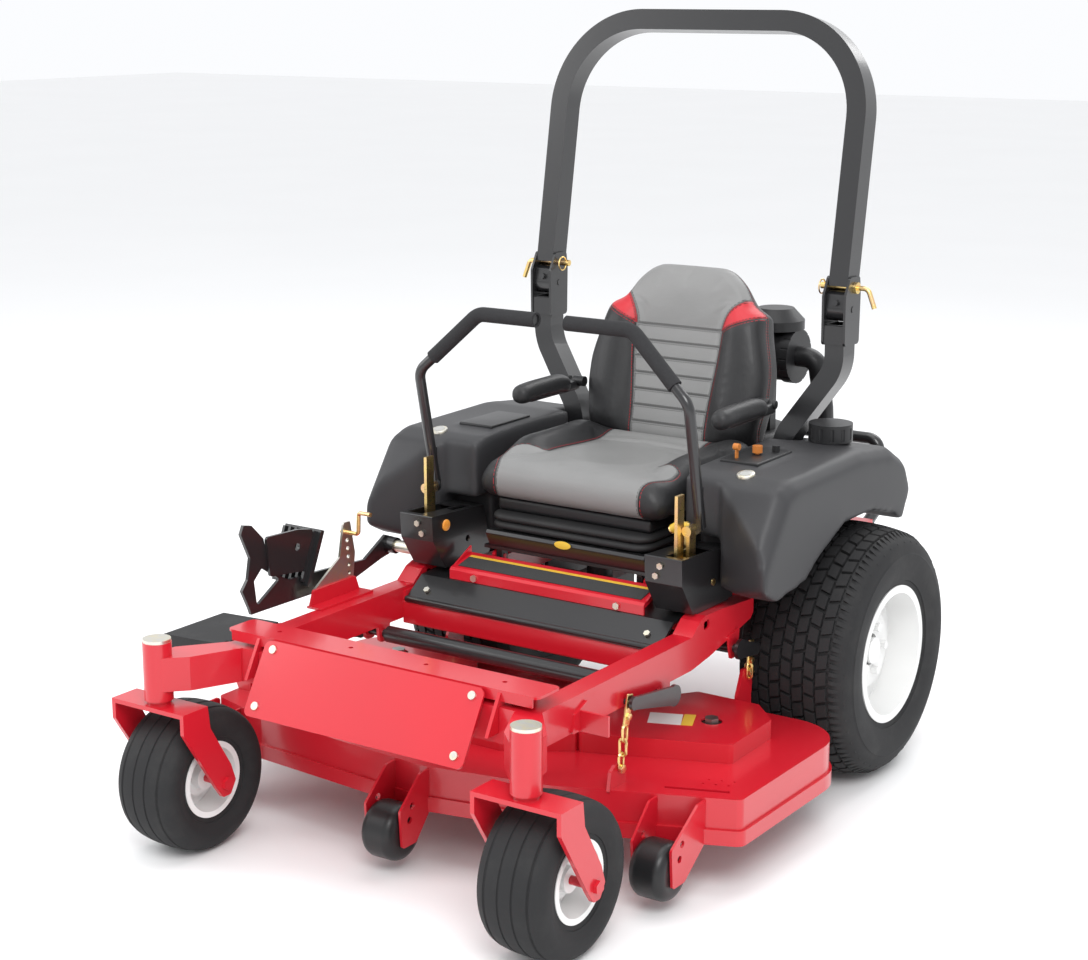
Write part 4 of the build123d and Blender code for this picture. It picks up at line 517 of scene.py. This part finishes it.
def caster_tyre(place_name):
    """A ribbed caster tyre with three circumferential grooves."""
    node = f"caster_tyre_{place_name}"
    centre, bm = middle(node), bmesh.new()
    half = [(0.0612, 0.0785), (0.064, 0.086), (0.0665, 0.0965), (0.0695, 0.0975), (0.0705, 0.1015),
            (0.0765, 0.112), (0.0803, 0.1255), (0.0795, 0.139), (0.0745, 0.1495), (0.066, 0.1565),
            (0.0545, 0.1606), (0.0525, 0.1585), (0.0495, 0.1585), (0.0475, 0.1618), (0.034, 0.1638),
            (0.019, 0.1647), (0.0175, 0.1625), (0.0150, 0.1625), (0.0135, 0.1650)]
    inside = [(-0.052, 0.088), (0.052, 0.088)]
    lathe(bm, mirrored(half, 0.1652) + inside, centre, 96, closed=True)
    obj = from_bmesh(f"ribbed_tyre_{place_name}", bm, "tyre_rubber", f"caster_wheel_{place_name}")
    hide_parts(node)


# ---- seat ----
def rounded_box(bm, half, radius, cuts):
    """Adds a box with round edges, evenly cut, centred on the origin."""
    made = bmesh.ops.create_cube(bm, size=2.0)
    bmesh.ops.subdivide_edges(bm, edges=list({e for v in made["verts"] for e in v.link_edges}), cuts=cuts,
                              use_grid_fill=True)
    for v in bm.verts:
        p = Vector([v.co[k] * half[k] for k in range(3)])
        core = Vector([max(-(half[k] - radius), min(half[k] - radius, p[k])) for k in range(3)])
        v.co = core + (p - core).normalized() * radius if (p - core).length > 1e-9 else p
    return bm


def ease(value, low, high):
    """0 below low, 1 above high, and a smooth step between."""
    share = max(0.0, min(1.0, (value - low) / (high - low)))
    return share * share * (3 - 2 * share)


CLOTH_FRAMES = 20
PIN_REACH = 0.0035    # a point this close to a seam is held by it


def make_soft(name, bm, pins, settings):
    """Remeshes a padded shape evenly, then lets cloth pressure swell it between its pinned seams."""
    bmesh.ops.recalc_face_normals(bm, faces=bm.faces)
    mesh = bpy.data.meshes.new(name)
    bm.to_mesh(mesh)
    bm.free()
    obj = bpy.data.objects.new(name, mesh)
    bpy.context.scene.collection.objects.link(obj)
    bpy.context.view_layer.objects.active = obj
    remesh = obj.modifiers.new("Even", "REMESH")
    remesh.mode, remesh.voxel_size = "VOXEL", settings.voxel_mm / 1000
    smooth = obj.modifiers.new("Smooth", "SMOOTH")
    smooth.factor, smooth.iterations = 0.5, 6
    apply_modifiers(obj)
    rest = [v.co.copy() for v in obj.data.vertices]
    group = obj.vertex_groups.new(name="seams")
    for v in obj.data.vertices:
        weight = pins(v.co)
        if weight > 0:
            group.add([v.index], weight, "REPLACE")
    cloth = obj.modifiers.new("Cloth", "CLOTH")
    cloth.settings.quality = 6
    cloth.settings.mass = 0.4
    cloth.settings.tension_stiffness = cloth.settings.compression_stiffness = 30
    cloth.settings.shear_stiffness, cloth.settings.bending_stiffness = 12, 3
    cloth.settings.use_pressure = True
    cloth.settings.uniform_pressure_force = settings.pressure
    cloth.settings.effector_weights.gravity = 0
    cloth.settings.vertex_group_mass = "seams"
    cloth.collision_settings.use_collision = False
    cloth.point_cache.frame_start, cloth.point_cache.frame_end = 1, CLOTH_FRAMES
    for number in range(1, CLOTH_FRAMES + 1):
        bpy.context.scene.frame_set(number)
    apply_modifiers(obj)
    bpy.context.scene.frame_set(1)
    for v, start in zip(obj.data.vertices, rest):
        moved = v.co - start
        limit = settings.swell_mm / 1000
        v.co = start + (moved * (limit / moved.length) if moved.length > limit else moved)
    return obj


def apply_modifiers(obj):
    """Replaces the object's mesh with what its modifiers make of it."""
    graph = bpy.context.evaluated_depsgraph_get()
    made = bpy.data.meshes.new_from_object(obj.evaluated_get(graph))
    obj.modifiers.clear()
    old, obj.data = obj.data, made
    bpy.data.meshes.remove(old)


BLACK, GREY, RED = range(3)     # the vinyl materials in a padded piece's order


def finish_soft(obj, measure, panel, body, node):
    """One level of subdivision, stored seam distances, a material per panel, and a place on its body."""
    detail = obj.modifiers.new("Detail", "SUBSURF")
    detail.levels = detail.render_levels = 1
    apply_modifiers(obj)
    mesh = obj.data
    seam = mesh.attributes.new("seam", "FLOAT", "POINT")
    run = mesh.attributes.new("run", "FLOAT", "POINT")
    found = [measure(v.co) for v in mesh.vertices]
    seam.data.foreach_set("value", [d for d, _ in found])
    run.data.foreach_set("value", [r for _, r in found])
    mesh.materials.clear()
    for key in ("vinyl", "vinyl_grey", "vinyl_red"):
        mesh.materials.append(MATERIALS[key])
    for face in mesh.polygons:
        face.use_smooth = True
        face.material_index = panel(face.center)
    place(obj, body, "vinyl")
    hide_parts(node)
    return obj


def cushion_seam(x, y):
    """Signed distance from the line between the grey panel and a black side; y is from the front edge."""
    line = 0.200 + 0.038 * ease(y, 0.0, 0.10) - 0.082 * ease(y, 0.115, 0.17) - 0.016 * ease(y, 0.17, 0.40)
    return abs(x) - line


def seat_cushion(settings):
    """The seat pad: a thick rounded front, raised black sides and a grey middle."""
    low, high = at(-262, -488, 672), at(262, -20, 765)
    centre, half = (low + high) / 2, (high - low) / 2
    bm = rounded_box(bmesh.new(), half, 0.042, 26)
    for v in bm.verts:
        x, y, top = v.co.x, v.co.y + half.y, ease(v.co.z, -0.01, 0.03)
        wing = ease(abs(x), 0.145, 0.215) * ease(y, 0.07, 0.19) * (1 - 0.7 * ease(y, 0.40, 0.468))
        sag = (1 - ease(abs(x), 0.02, 0.19)) * ease(y, 0.06, 0.22) * (1 - ease(y, 0.33, 0.42))
        v.co.z += top * (0.034 * wing - 0.011 * sag + 0.014 * ease(y, 0.36, 0.44) * (1 - wing))
        v.co.x *= 1 - 0.06 * (1 - ease(y, 0.0, 0.09)) * top
    bmesh.ops.translate(bm, verts=bm.verts, vec=centre)

    def local(p):
        return p.x - centre.x, p.y - low.y, p.z - centre.z

    def pins(p):
        x, y, z = local(p)
        if z < -0.03:
            return 1.0
        return 1.0 if abs(cushion_seam(x, y)) < PIN_REACH and z > -0.02 else 0.0

    def measure(p):
        x, y, z = local(p)
        return (cushion_seam(x, y) if z > -0.035 else 1.0), y + abs(z) * 0.4

    def panel(p):
        x, y, z = local(p)
        return GREY if cushion_seam(x, y) < 0 and z > -0.042 else BLACK

    obj = make_soft("cushion_padding", bm, pins, settings)
    finish_soft(obj, measure, panel, "seat", "seat_cushion")
    base = bmesh.new()
    slab(base, at(-215, -455, 641), at(215, -40, 673), 0.010)
    for x in (-170, 150):
        slab(base, at(x, -430, 635), at(x + 20, -80, 642), 0.001)
    from_bmesh("seat_pan", base, "black_plastic", "seat", "vinyl")


BACK_LEAN = radians(14)
BACK_TALL, BACK_THICK = 0.442, 0.100
PLEATS = [0.037 + 0.041 * k for k in range(7)]
PLEAT_TOP = PLEATS[-1]


def back_width(s):
    """Half width of the back rest at a height along it."""
    return 0.236 + 0.016 * ease(s, 0.02, 0.14) - 0.030 * ease(s, 0.17, 0.33) - 0.050 * ease(s, 0.33, 0.44)


def back_bolster(x, s):
    """How much of a side bolster there is at a place on the back rest."""
    return ease(abs(x), 0.105, 0.165) * (1 - ease(s, 0.28, 0.40)) * ease(s, 0.0, 0.06)


def back_push(x, s, front):
    """How far the surface is moved rearward, from the sides' wrap, the bolsters and the pleats' hollow."""
    bolster = back_bolster(x, s)
    return 0.012 * ease(abs(x), 0.12, 0.25) + front * (0.010 * (1 - bolster) - 0.026 * bolster)


def back_seam(x, s):
    """Signed distance from the line between the pleats and a black bolster."""
    return abs(x) - (0.106 + 0.018 * ease(s, 0.03, PLEAT_TOP))


def shoulder_cut(x, s):
    """Signed distance above the slanted lower edge of a red shoulder."""
    return (s - PLEAT_TOP - 0.45 * (abs(x) - 0.124)) / 1.1


def shoulder_arc(x, s):
    """Signed distance inside the curved inner edge of a red shoulder."""
    return 0.104 - math.hypot(abs(x) - 0.226, s - 0.277)


def seat_back(settings):
    """The back rest: pleated grey middle, black bolsters with red shoulders and a plain head panel."""
    low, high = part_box("seat_back")
    root = Vector(((low.x + high.x) / 2, at(0, -44, 0).y, at(0, 0, 766).z))
    turn = Matrix.Rotation(-BACK_LEAN, 3, "X")
    bm = rounded_box(bmesh.new(), Vector((0.25, BACK_THICK / 2, BACK_TALL / 2)), 0.042, 26)
    for v in bm.verts:
        s, front = v.co.z + BACK_TALL / 2, 1 - ease(v.co.y, -0.03, 0.02)
        v.co.x *= back_width(s) / 0.25
        v.co.y += back_push(v.co.x, s, front) - (1 - front) * 0.014 * ease(s, 0.3, 0.44)
        v.co.z -= 0.060 * ease(abs(v.co.x), 0.06, 0.185) ** 2 * ease(s, 0.30, 0.44)
        v.co.z -= 0.026 * (1 - ease(s, 0.0, 0.09))
        v.co = turn @ Vector((v.co.x, v.co.y + BACK_THICK / 2, v.co.z + BACK_TALL / 2)) + root
    back_turn = turn.transposed()

    def local(p):
        """Across, depth from the side seam, and height along the back."""
        q = back_turn @ (p - root)
        return q.x, q.y - 0.042 - back_push(q.x, q.z, 0.45), q.z

    def nearest(x, depth, s):
        """Distance to the nearest seam, and the place along it."""
        found = [(abs(depth), s)]
        if s < PLEAT_TOP:
            found.append((abs(back_seam(x, s)), s))
        if back_seam(x, s) < -0.002:
            found += [(abs(s - level), x) for level in PLEATS]
        if back_seam(x, s) > 0 and shoulder_arc(x, s) > 0:
            found.append((abs(shoulder_cut(x, s)), x))
        if shoulder_cut(x, s) > 0:
            found.append((abs(shoulder_arc(x, s)), s))
        return min(found) if depth < 0 else found[0]

    def pins(p):
        x, depth, s = local(p)
        return 1.0 if depth > 0.03 or nearest(x, depth, s)[0] < 0.0038 else 0.0

    def measure(p):
        return nearest(*local(p))

    def panel(p):
        x, depth, s = local(p)
        if depth > 0:
            return BLACK
        if shoulder_cut(x, s) > 0:
            return RED if shoulder_arc(x, s) > 0 else GREY
        return GREY if back_seam(x, s) < 0 else BLACK

    obj = make_soft("back_padding", bm, pins, settings)
    finish_soft(obj, measure, panel, "seat", "seat_back")


def armrest(place_name, side, settings):
    """A padded arm rest on its plastic arm."""
    node = f"armrest_{place_name}"
    low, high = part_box(node)
    x = at(side * 283, 0, 0).x
    half = Vector((0.0235, 0.114, 0.025))
    centre = Vector((x, low.y + half.y, high.z - half.z))
    bm = rounded_box(bmesh.new(), half, 0.0225, 14)
    for v in bm.verts:
        y = v.co.y + half.y
        v.co.z += 0.004 * ease(y, 0.0, 0.08) - 0.004 - 0.008 * ease(y, 0.17, 0.228)
        v.co.x *= 1 + 0.10 * (1 - ease(y, 0.0, 0.12))
    bmesh.ops.translate(bm, verts=bm.verts, vec=centre)
    obj = make_soft(f"arm_pad_{place_name}", bm, lambda p: 1.0 if p.z < centre.z - 0.015 else 0.0, settings)
    finish_soft(obj, lambda p: (1.0, p.y), lambda p: BLACK, f"arm_{place_name}", node)
    arm = bmesh.new()
    slab(arm, (x - 0.015, low.y + 0.045, low.z + 0.002), (x + 0.015, high.y - 0.006, high.z - 0.026), 0.009)
    inner = at(side * 251, 0, 0).x
    boss = Vector((inner, high.y - 0.016, at(0, 0, 882).z))
    disc(arm, boss, (side, 0, 0), 0.013, abs(x - inner), 0.002)
    disc(arm, Vector((x + side * 0.012, boss.y, boss.z)), (side, 0, 0), 0.011, 0.007, 0.003)
    from_bmesh(f"arm_bracket_{place_name}", arm, "black_plastic", f"arm_{place_name}", "vinyl")


# ---- tanks ----
TANK_LEAST_HEIGHT = 0.1    # lower pieces of the CAD node are fittings, which tank_fittings draws afresh


def loose_pieces(bm):
    """The vertices of each connected piece of a mesh."""
    pieces, seen = [], set()
    for first in bm.verts:
        if first in seen:
            continue
        stack, piece = [first], []
        while stack:
            v = stack.pop()
            if v not in seen:
                seen.add(v)
                piece.append(v)
                stack += [e.other_vert(v) for e in v.link_edges]
        pieces.append(piece)
    return pieces


def tanks(settings):
    """Soft-edged moulded tanks made from the CAD tanks. Returns their surface, for what sits on it."""
    node = frame["nodes"]["fuel_tanks"]
    bm = bmesh.new()
    bm.from_mesh(node.data)
    bmesh.ops.remove_doubles(bm, verts=bm.verts, dist=0.00001)
    low_pieces = []
    for piece in loose_pieces(bm):
        heights = [v.co.z for v in piece]
        if max(heights) - min(heights) < TANK_LEAST_HEIGHT:
            low_pieces += piece
    bmesh.ops.delete(bm, geom=low_pieces, context="VERTS")
    mesh = bpy.data.meshes.new("moulded_tanks")
    bm.to_mesh(mesh)
    bm.free()
    obj = bpy.data.objects.new("moulded_tanks", mesh)
    bpy.context.scene.collection.objects.link(obj)
    remesh = obj.modifiers.new("Even", "REMESH")
    remesh.mode, remesh.voxel_size = "VOXEL", settings.tank_voxel_mm / 1000
    smooth = obj.modifiers.new("Soft edges", "SMOOTH")
    smooth.factor, smooth.iterations = 0.6, 9
    apply_modifiers(obj)
    dress(obj, "tank_plastic")
    for face in obj.data.polygons:
        face.use_smooth = True
    place(obj, "chassis", "tank_plastic")
    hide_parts("fuel_tanks")
    return BVHTree.FromPolygons([v.co for v in obj.data.vertices], [p.vertices for p in obj.data.polygons])


def drop(tree, x, y):
    """The point on the tanks' upper surface over a place in millimetres."""
    spot, normal, _, _ = tree.ray_cast(at(x, y, 1000), Vector((0, 0, -1)))
    return (spot, normal) if spot else (at(x, y, 800), Vector((0, 0, 1)))


def tank_fittings(tree):
    """Black control panels, the filler neck and two small fuel gauges on the tanks."""
    panels = bmesh.new()
    for side in (1, -1):
        spot, _ = drop(tree, side * 372, -245)
        far = at(side * 372 + 50, -160, 0)
        slab(panels, at(side * 372 - 50, -330, 798), (far.x, far.y, spot.z + 0.004), 0.004)
    from_bmesh("control_panels", panels, "black_plastic", "chassis")
    neck = bmesh.new()
    low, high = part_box("fuel_cap")
    centre = (low + high) / 2
    disc(neck, Vector((centre.x, centre.y, low.z - 0.026)), (0, 0, 1), 0.044, 0.031, 0.002, 48)
    from_bmesh("filler_neck", neck, "black_plastic", "chassis")
    for side in (1, -1):
        spot, normal = drop(tree, side * 430, -400)
        ring = disc(bmesh.new(), spot - normal * 0.003, normal, 0.021, 0.008, 0.003, 40)
        from_bmesh(f"gauge_ring_{side}", ring, "zinc", "chassis")
        face = disc(bmesh.new(), spot + normal * 0.004, normal, 0.014, 0.0022, 0.001, 40)
        from_bmesh(f"gauge_face_{side}", face, "gauge_face", "chassis", "tank_plastic")


# ---- chains, labels and trim ----
def chain_link(bm, centre, long, wide, wire, turned):
    """One oval link in the plane of Y and Z, or turned to that of X and Z."""
    points = []
    for k in range(20):
        t = 2 * pi * k / 20
        across, up = wide * cos(t), wide * sin(t) + (long - wide if sin(t) >= 0 else wide - long)
        points.append(centre + (Vector((across, 0, up)) if turned else Vector((0, across, up))))
    sweep(bm, points, wire, 8, closed=True)


def hangers():
    """The four deck hangers: an adjuster strap, its bolt, and chain links down to the deck."""
    spots = ((-880, 400, -912, 262), (-345, 378, -352, 322))
    bm = bmesh.new()
    for side in (1, -1):
        for tip_y, tip_z, foot_y, foot_z in spots:
            x = side * 423
            top, foot = at(x, tip_y, tip_z), at(x, foot_y, foot_z)
            lean = (foot - top).normalized()
            strap = bmesh.new()
            slab(strap, (-0.0025, -0.011, -0.052), (0.0025, 0.011, 0.018), 0.002)
            angle = math.atan2(lean.y, -lean.z)
            bmesh.ops.rotate(strap, verts=strap.verts, matrix=Matrix.Rotation(angle, 3, "X"))
            bmesh.ops.translate(strap, verts=strap.verts, vec=top)
            mesh = bpy.data.meshes.new("strap")
            strap.to_mesh(mesh)
            strap.free()
            bm.from_mesh(mesh)
            bpy.data.meshes.remove(mesh)
            disc(bm, top + lean * 0.030 + Vector((side * 0.002, 0, 0)), (side, 0, 0), 0.008, 0.007, 0.001, 6)
            start, length = top + lean * 0.052, (foot - top).length - 0.052
            count = max(2, round(length / 0.026))
            for k in range(count):
                spot = start + lean * (length * (k + 0.5) / count)
                chain_link(bm, spot, 0.0185, 0.0085, 0.0032, k % 2 == 1)
            disc(bm, foot + Vector((side * 0.004, 0, 0)), (side, 0, 0), 0.010, 0.006, 0.001, 6)
            sweep(bm, [foot - Vector((side * 0.014, 0, 0)), foot + Vector((side * 0.008, 0, 0))], 0.005)
    obj = from_bmesh("chain_hangers", bm, "yellow_zinc", "deck")
    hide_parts("deck_hangers")


def foot_tape():
    """Grip tape with yellow edges on the sloping foot rest."""
    low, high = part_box("foot_rest")
    start, end = at(0, -562, 517.8), at(0, -508, 530.9)
    steps, verts, faces = 6, [], []
    normal = Vector((0, -(end - start).z, (end - start).y)).normalized()
    for level in (0.0, 0.0012):
        for i in range(steps + 1):
            share = i / steps
            for x in (low.x + 0.016, high.x - 0.016):
                point = start.lerp(end, share)
                verts.append(Vector((x, point.y, point.z)) + normal * level)
    first = 2 * (steps + 1)
    for i in range(steps):
        a, b = 2 * i, 2 * i + first
        faces += [(b, b + 1, b + 3, b + 2), (a, b, b + 2, a + 2), (a + 1, a + 3, b + 3, b + 1)]
    faces += [(0, 1, first + 1, first), (first - 2, 2 * first - 2, 2 * first - 1, first - 1)]
    obj = flat_mesh("foot_tape", verts, faces, "grip_tape", "chassis", "black_paint")
    held = obj.data.attributes.new("across", "FLOAT", "FACE")
    edge = start.lerp(end, 0.8).y
    held.data.foreach_set("value", [1.0 if face.center.y > edge else 0.0 for face in obj.data.polygons])


def label(name, corners, material, body, lift=0.0006):
    """A thin plain sticker on a flat face from four corners."""
    normal = (corners[1] - corners[0]).cross(corners[2] - corners[0]).normalized()
    verts = list(corners) + [c + normal * lift for c in corners]
    faces = [(0, 3, 2, 1), (4, 5, 6, 7), (0, 1, 5, 4), (1, 2, 6, 5), (2, 3, 7, 6), (3, 0, 4, 7)]
    return flat_mesh(name, verts, faces, material, body, "red_paint")


def trim():
    """Amber reflectors, plain stickers and small buttons."""
    bm = bmesh.new()
    disc(bm, at(-294, -560, 612), (1, 0, 0), 0.014, 0.004, 0.002, 32)
    disc(bm, at(294, -560, 612), (-1, 0, 0), 0.014, 0.004, 0.002, 32)
    from_bmesh("side_reflectors", bm, "reflector", "chassis", "orange_plastic")
    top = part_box("belt_covers")[1].z + 0.0002
    spots = [at(*p, 0) for p in ((330, -650), (400, -622), (370, -560), (300, -588))]
    label("deck_sticker_upper", [Vector((p.x, p.y, top)) for p in spots], "white_label", "deck")
    spots = [at(*p, 0) for p in ((372, -556), (400, -622), (424, -612), (396, -546))]
    label("deck_sticker_edge", [Vector((p.x, p.y, top)) for p in spots], "yellow_label", "deck")
    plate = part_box("seat_platform")[0]
    oval = bmesh.new()
    face = Vector((at(0, 0, 0).x, plate.y - 0.0008, at(0, 0, 592).z))
    disc(oval, face, (0, -1, 0), 0.011, 0.0022, 0.0008, 32)
    bmesh.ops.scale(oval, verts=oval.verts, vec=(2.1, 1, 0.85), space=Matrix.Translation(-face))
    from_bmesh("seat_badge", oval, "yellow_label", "seat_base", "black_paint")


BELLOWS_DEPTH = 0.013    # how far a fold stands out


def bellows():
    """The folded rubber cover between the seat's slides and its base."""
    bm = bmesh.new()
    low, high = at(-212, -474, 600), at(212, -54, 640)
    corner, levels, around = 0.030, 22, 6
    left, right, front, back = low.x + corner, high.x - corner, low.y + corner, high.y - corner
    corners = ((right, back), (left, back), (left, front), (right, front))
    rings = []
    for level in range(levels + 1):
        share = level / levels
        spread = corner + BELLOWS_DEPTH * math.sqrt(abs(sin(2 * pi * share)))
        z = low.z + (high.z - low.z) * share
        ring = []
        for quarter, (x, y) in enumerate(corners):
            for k in range(around + 1):
                angle = pi / 2 * (quarter + k / around)
                ring.append(Vector((x + spread * cos(angle), y + spread * sin(angle), z)))
        rings.append([bm.verts.new(p) for p in ring])
    count = len(rings[0])
    for near, far in zip(rings, rings[1:]):
        for i in range(count):
            j = (i + 1) % count
            bm.faces.new((near[i], near[j], far[j], far[i]))
    bm.faces.new(rings[0])
    bm.faces.new(rings[-1])
    from_bmesh("seat_bellows", bm, "chute_rubber", "seat_base", "black_paint")


def brake_grip():
    """The thick yellow grip of the parking brake."""
    y, z = -466, 664
    route = [(280, y, z + 2), (290, y + 1, z + 9), (301, y + 2, z + 13), (316, y + 2, z + 13),
             (328, y + 1, z + 9), (338, y, z + 3)]
    grip = sweep(bmesh.new(), [at(*p) for p in route], 0.0112, 16)
    from_bmesh("brake_grip", grip, "yellow_label", "brake", "yellow_zinc")


# ---- frame and stage ----
def paint_frame():
    """Gives every CAD node the material of its slot in the record."""
    slots = {s["node"]: s["material_slot"] for s in frame["record"]["subparts"]}
    for name, node in frame["nodes"].items():
        node.data.materials.clear()
        node.data.materials.append(MATERIALS[slots[name]])
        for face in node.data.polygons:
            face.use_smooth = True
        node.data.set_sharp_from_angle(angle=radians(30))


FLOOR_HALF = 30.0
# a lamp's name, place, width and share of the key lamp's power
LAMPS = (("Key", (3.2, -3.6, 4.6), 3.0, 1.0), ("Fill", (-4.4, -2.6, 3.2), 3.5, 0.45),
         ("Back", (0.5, 4.2, 4.4), 3.5, 0.5), ("Top", (0.0, -0.3, 5.5), 4.0, 0.4))
LAMP_TARGET = Vector((0, 0, 0.6))


def stage(settings):
    """A pale floor that runs into the background, a pale world and soft lamps."""
    floor = bmesh.new()
    floor.faces.new([floor.verts.new((x * FLOOR_HALF, y * FLOOR_HALF, 0.0))
                     for x, y in ((-1, -1), (1, -1), (1, 1), (-1, 1))])
    mesh = bpy.data.meshes.new("Floor")
    floor.to_mesh(mesh)
    floor.free()
    ground = bpy.data.objects.new("Floor", mesh)
    bpy.context.scene.collection.objects.link(ground)
    p = Paint("Floor")
    p.set(colour=p.blend(rgb(0.93, 0.93, 0.93), rgb(0.90, 0.90, 0.90), p.noise(0.8)), roughness=0.6)
    mesh.materials.append(p.material)
    world = bpy.data.worlds.new("Studio")
    bpy.context.scene.world = world
    world.use_nodes = True
    background = world.node_tree.nodes["Background"]
    background.inputs["Color"].default_value = rgb(0.97, 0.98, 1.0)
    background.inputs["Strength"].default_value = settings.world_strength
    for name, spot, width, share in LAMPS:
        data = bpy.data.lights.new(name, "AREA")
        data.shape, data.size, data.energy = "DISK", width, settings.key_power * share
        lamp = bpy.data.objects.new(name, data)
        bpy.context.scene.collection.objects.link(lamp)
        lamp.location = spot
        lamp.rotation_euler = (LAMP_TARGET - Vector(spot)).to_track_quat("-Z", "Y").to_euler()


CAMERA_PLACE = (2614.5, -4433.1, 1870.9)
CAMERA_TILT, CAMERA_HEADING = 13.35, 34.12    # degrees, down and round
CAMERA_LENS, CAMERA_SENSOR = 69.05, 36.0


def camera():
    data = bpy.data.cameras.new("Camera")
    data.lens, data.sensor_width = CAMERA_LENS, CAMERA_SENSOR
    eye = bpy.data.objects.new("Camera", data)
    bpy.context.scene.collection.objects.link(eye)
    eye.location = at(*CAMERA_PLACE)
    eye.rotation_euler = (radians(90 - CAMERA_TILT), 0, radians(CAMERA_HEADING))
    bpy.context.scene.camera = eye
    view = bpy.context.scene.view_settings
    view.view_transform, view.look = "Standard", "None"


# ---- add-on ----
class MowerSettings(bpy.types.PropertyGroup):
    """Sizes and strengths that the pieces read."""

    voxel_mm: bpy.props.FloatProperty(name="Padding voxel", default=6.0, min=3.0, max=20.0)
    tank_voxel_mm: bpy.props.FloatProperty(name="Tank voxel", default=8.0, min=4.0, max=30.0)
    pressure: bpy.props.FloatProperty(name="Padding pressure", default=4.0, min=0.0, max=20.0)
    swell_mm: bpy.props.FloatProperty(name="Most swelling", default=9.0, min=0.0, max=30.0)
    tread_pitches: bpy.props.IntProperty(name="Tread pitches", default=46, min=12, max=90)
    key_power: bpy.props.FloatProperty(name="Key lamp power", default=190.0, min=0.0)
    world_strength: bpy.props.FloatProperty(name="World strength", default=1.0, min=0.0)


class MowerOperator:
    """What every operator here shares: it runs its build step and raises when that fails."""

    bl_options = {"REGISTER", "UNDO"}

    def execute(self, context):
        self.build(context.scene.mower)
        return {"FINISHED"}


class MOWER_OT_frame(MowerOperator, bpy.types.Operator):
    """Paint the CAD nodes"""

    bl_idname = "mower.frame"
    bl_label = "Frame materials"

    def build(self, settings):
        make_materials()
        paint_frame()


class MOWER_OT_wheels(MowerOperator, bpy.types.Operator):
    """Build the four tyres"""

    bl_idname = "mower.wheels"
    bl_label = "Tyres"

    def build(self, settings):
        for side, place_name in ((1, "left"), (-1, "right")):
            rear_tyre(place_name, settings)
            caster_tyre(place_name)


class MOWER_OT_tanks(MowerOperator, bpy.types.Operator):
    """Build the fuel tanks and what is on them"""

    bl_idname = "mower.tanks"
    bl_label = "Fuel tanks"

    def build(self, settings):
        tank_fittings(tanks(settings))


class MOWER_OT_seat(MowerOperator, bpy.types.Operator):
    """Build the padded seat"""

    bl_idname = "mower.seat"
    bl_label = "Seat"

    def build(self, settings):
        seat_cushion(settings)
        seat_back(settings)
        for side, place_name in ((1, "left"), (-1, "right")):
            armrest(place_name, side, settings)
        bellows()


class MOWER_OT_trim(MowerOperator, bpy.types.Operator):
    """Build chains, tape, the brake grip, stickers and reflectors"""

    bl_idname = "mower.trim"
    bl_label = "Chains and trim"

    def build(self, settings):
        hangers()
        brake_grip()
        foot_tape()
        trim()


class MOWER_OT_stage(MowerOperator, bpy.types.Operator):
    """Build the floor, the lamps and the camera"""

    bl_idname = "mower.stage"
    bl_label = "Stage"

    def build(self, settings):
        stage(settings)
        camera()


class MOWER_PT_panel(bpy.types.Panel):
    """Sidebar panel with the settings and a button for each step"""

    bl_label = "Mower"
    bl_idname = "MOWER_PT_panel"
    bl_space_type = "VIEW_3D"
    bl_region_type = "UI"
    bl_category = "Mower"

    def draw(self, context):
        for name in MowerSettings.__annotations__:
            self.layout.prop(context.scene.mower, name)
        for step in STEPS:
            self.layout.operator(step.bl_idname)


STEPS = (MOWER_OT_frame, MOWER_OT_wheels, MOWER_OT_tanks, MOWER_OT_seat, MOWER_OT_trim, MOWER_OT_stage)
CLASSES = (MowerSettings, *STEPS, MOWER_PT_panel)


def register():
    for cls in CLASSES:
        bpy.utils.register_class(cls)
    bpy.types.Scene.mower = bpy.props.PointerProperty(type=MowerSettings)


def unregister():
    del bpy.types.Scene.mower
    for cls in reversed(CLASSES):
        bpy.utils.unregister_class(cls)


def main():
    """Registers the add-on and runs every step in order."""
    register()
    for step in STEPS:
        group, name = step.bl_idname.split(".")
        getattr(getattr(bpy.ops, group), name)()


if __name__ == "__main__":
    main()
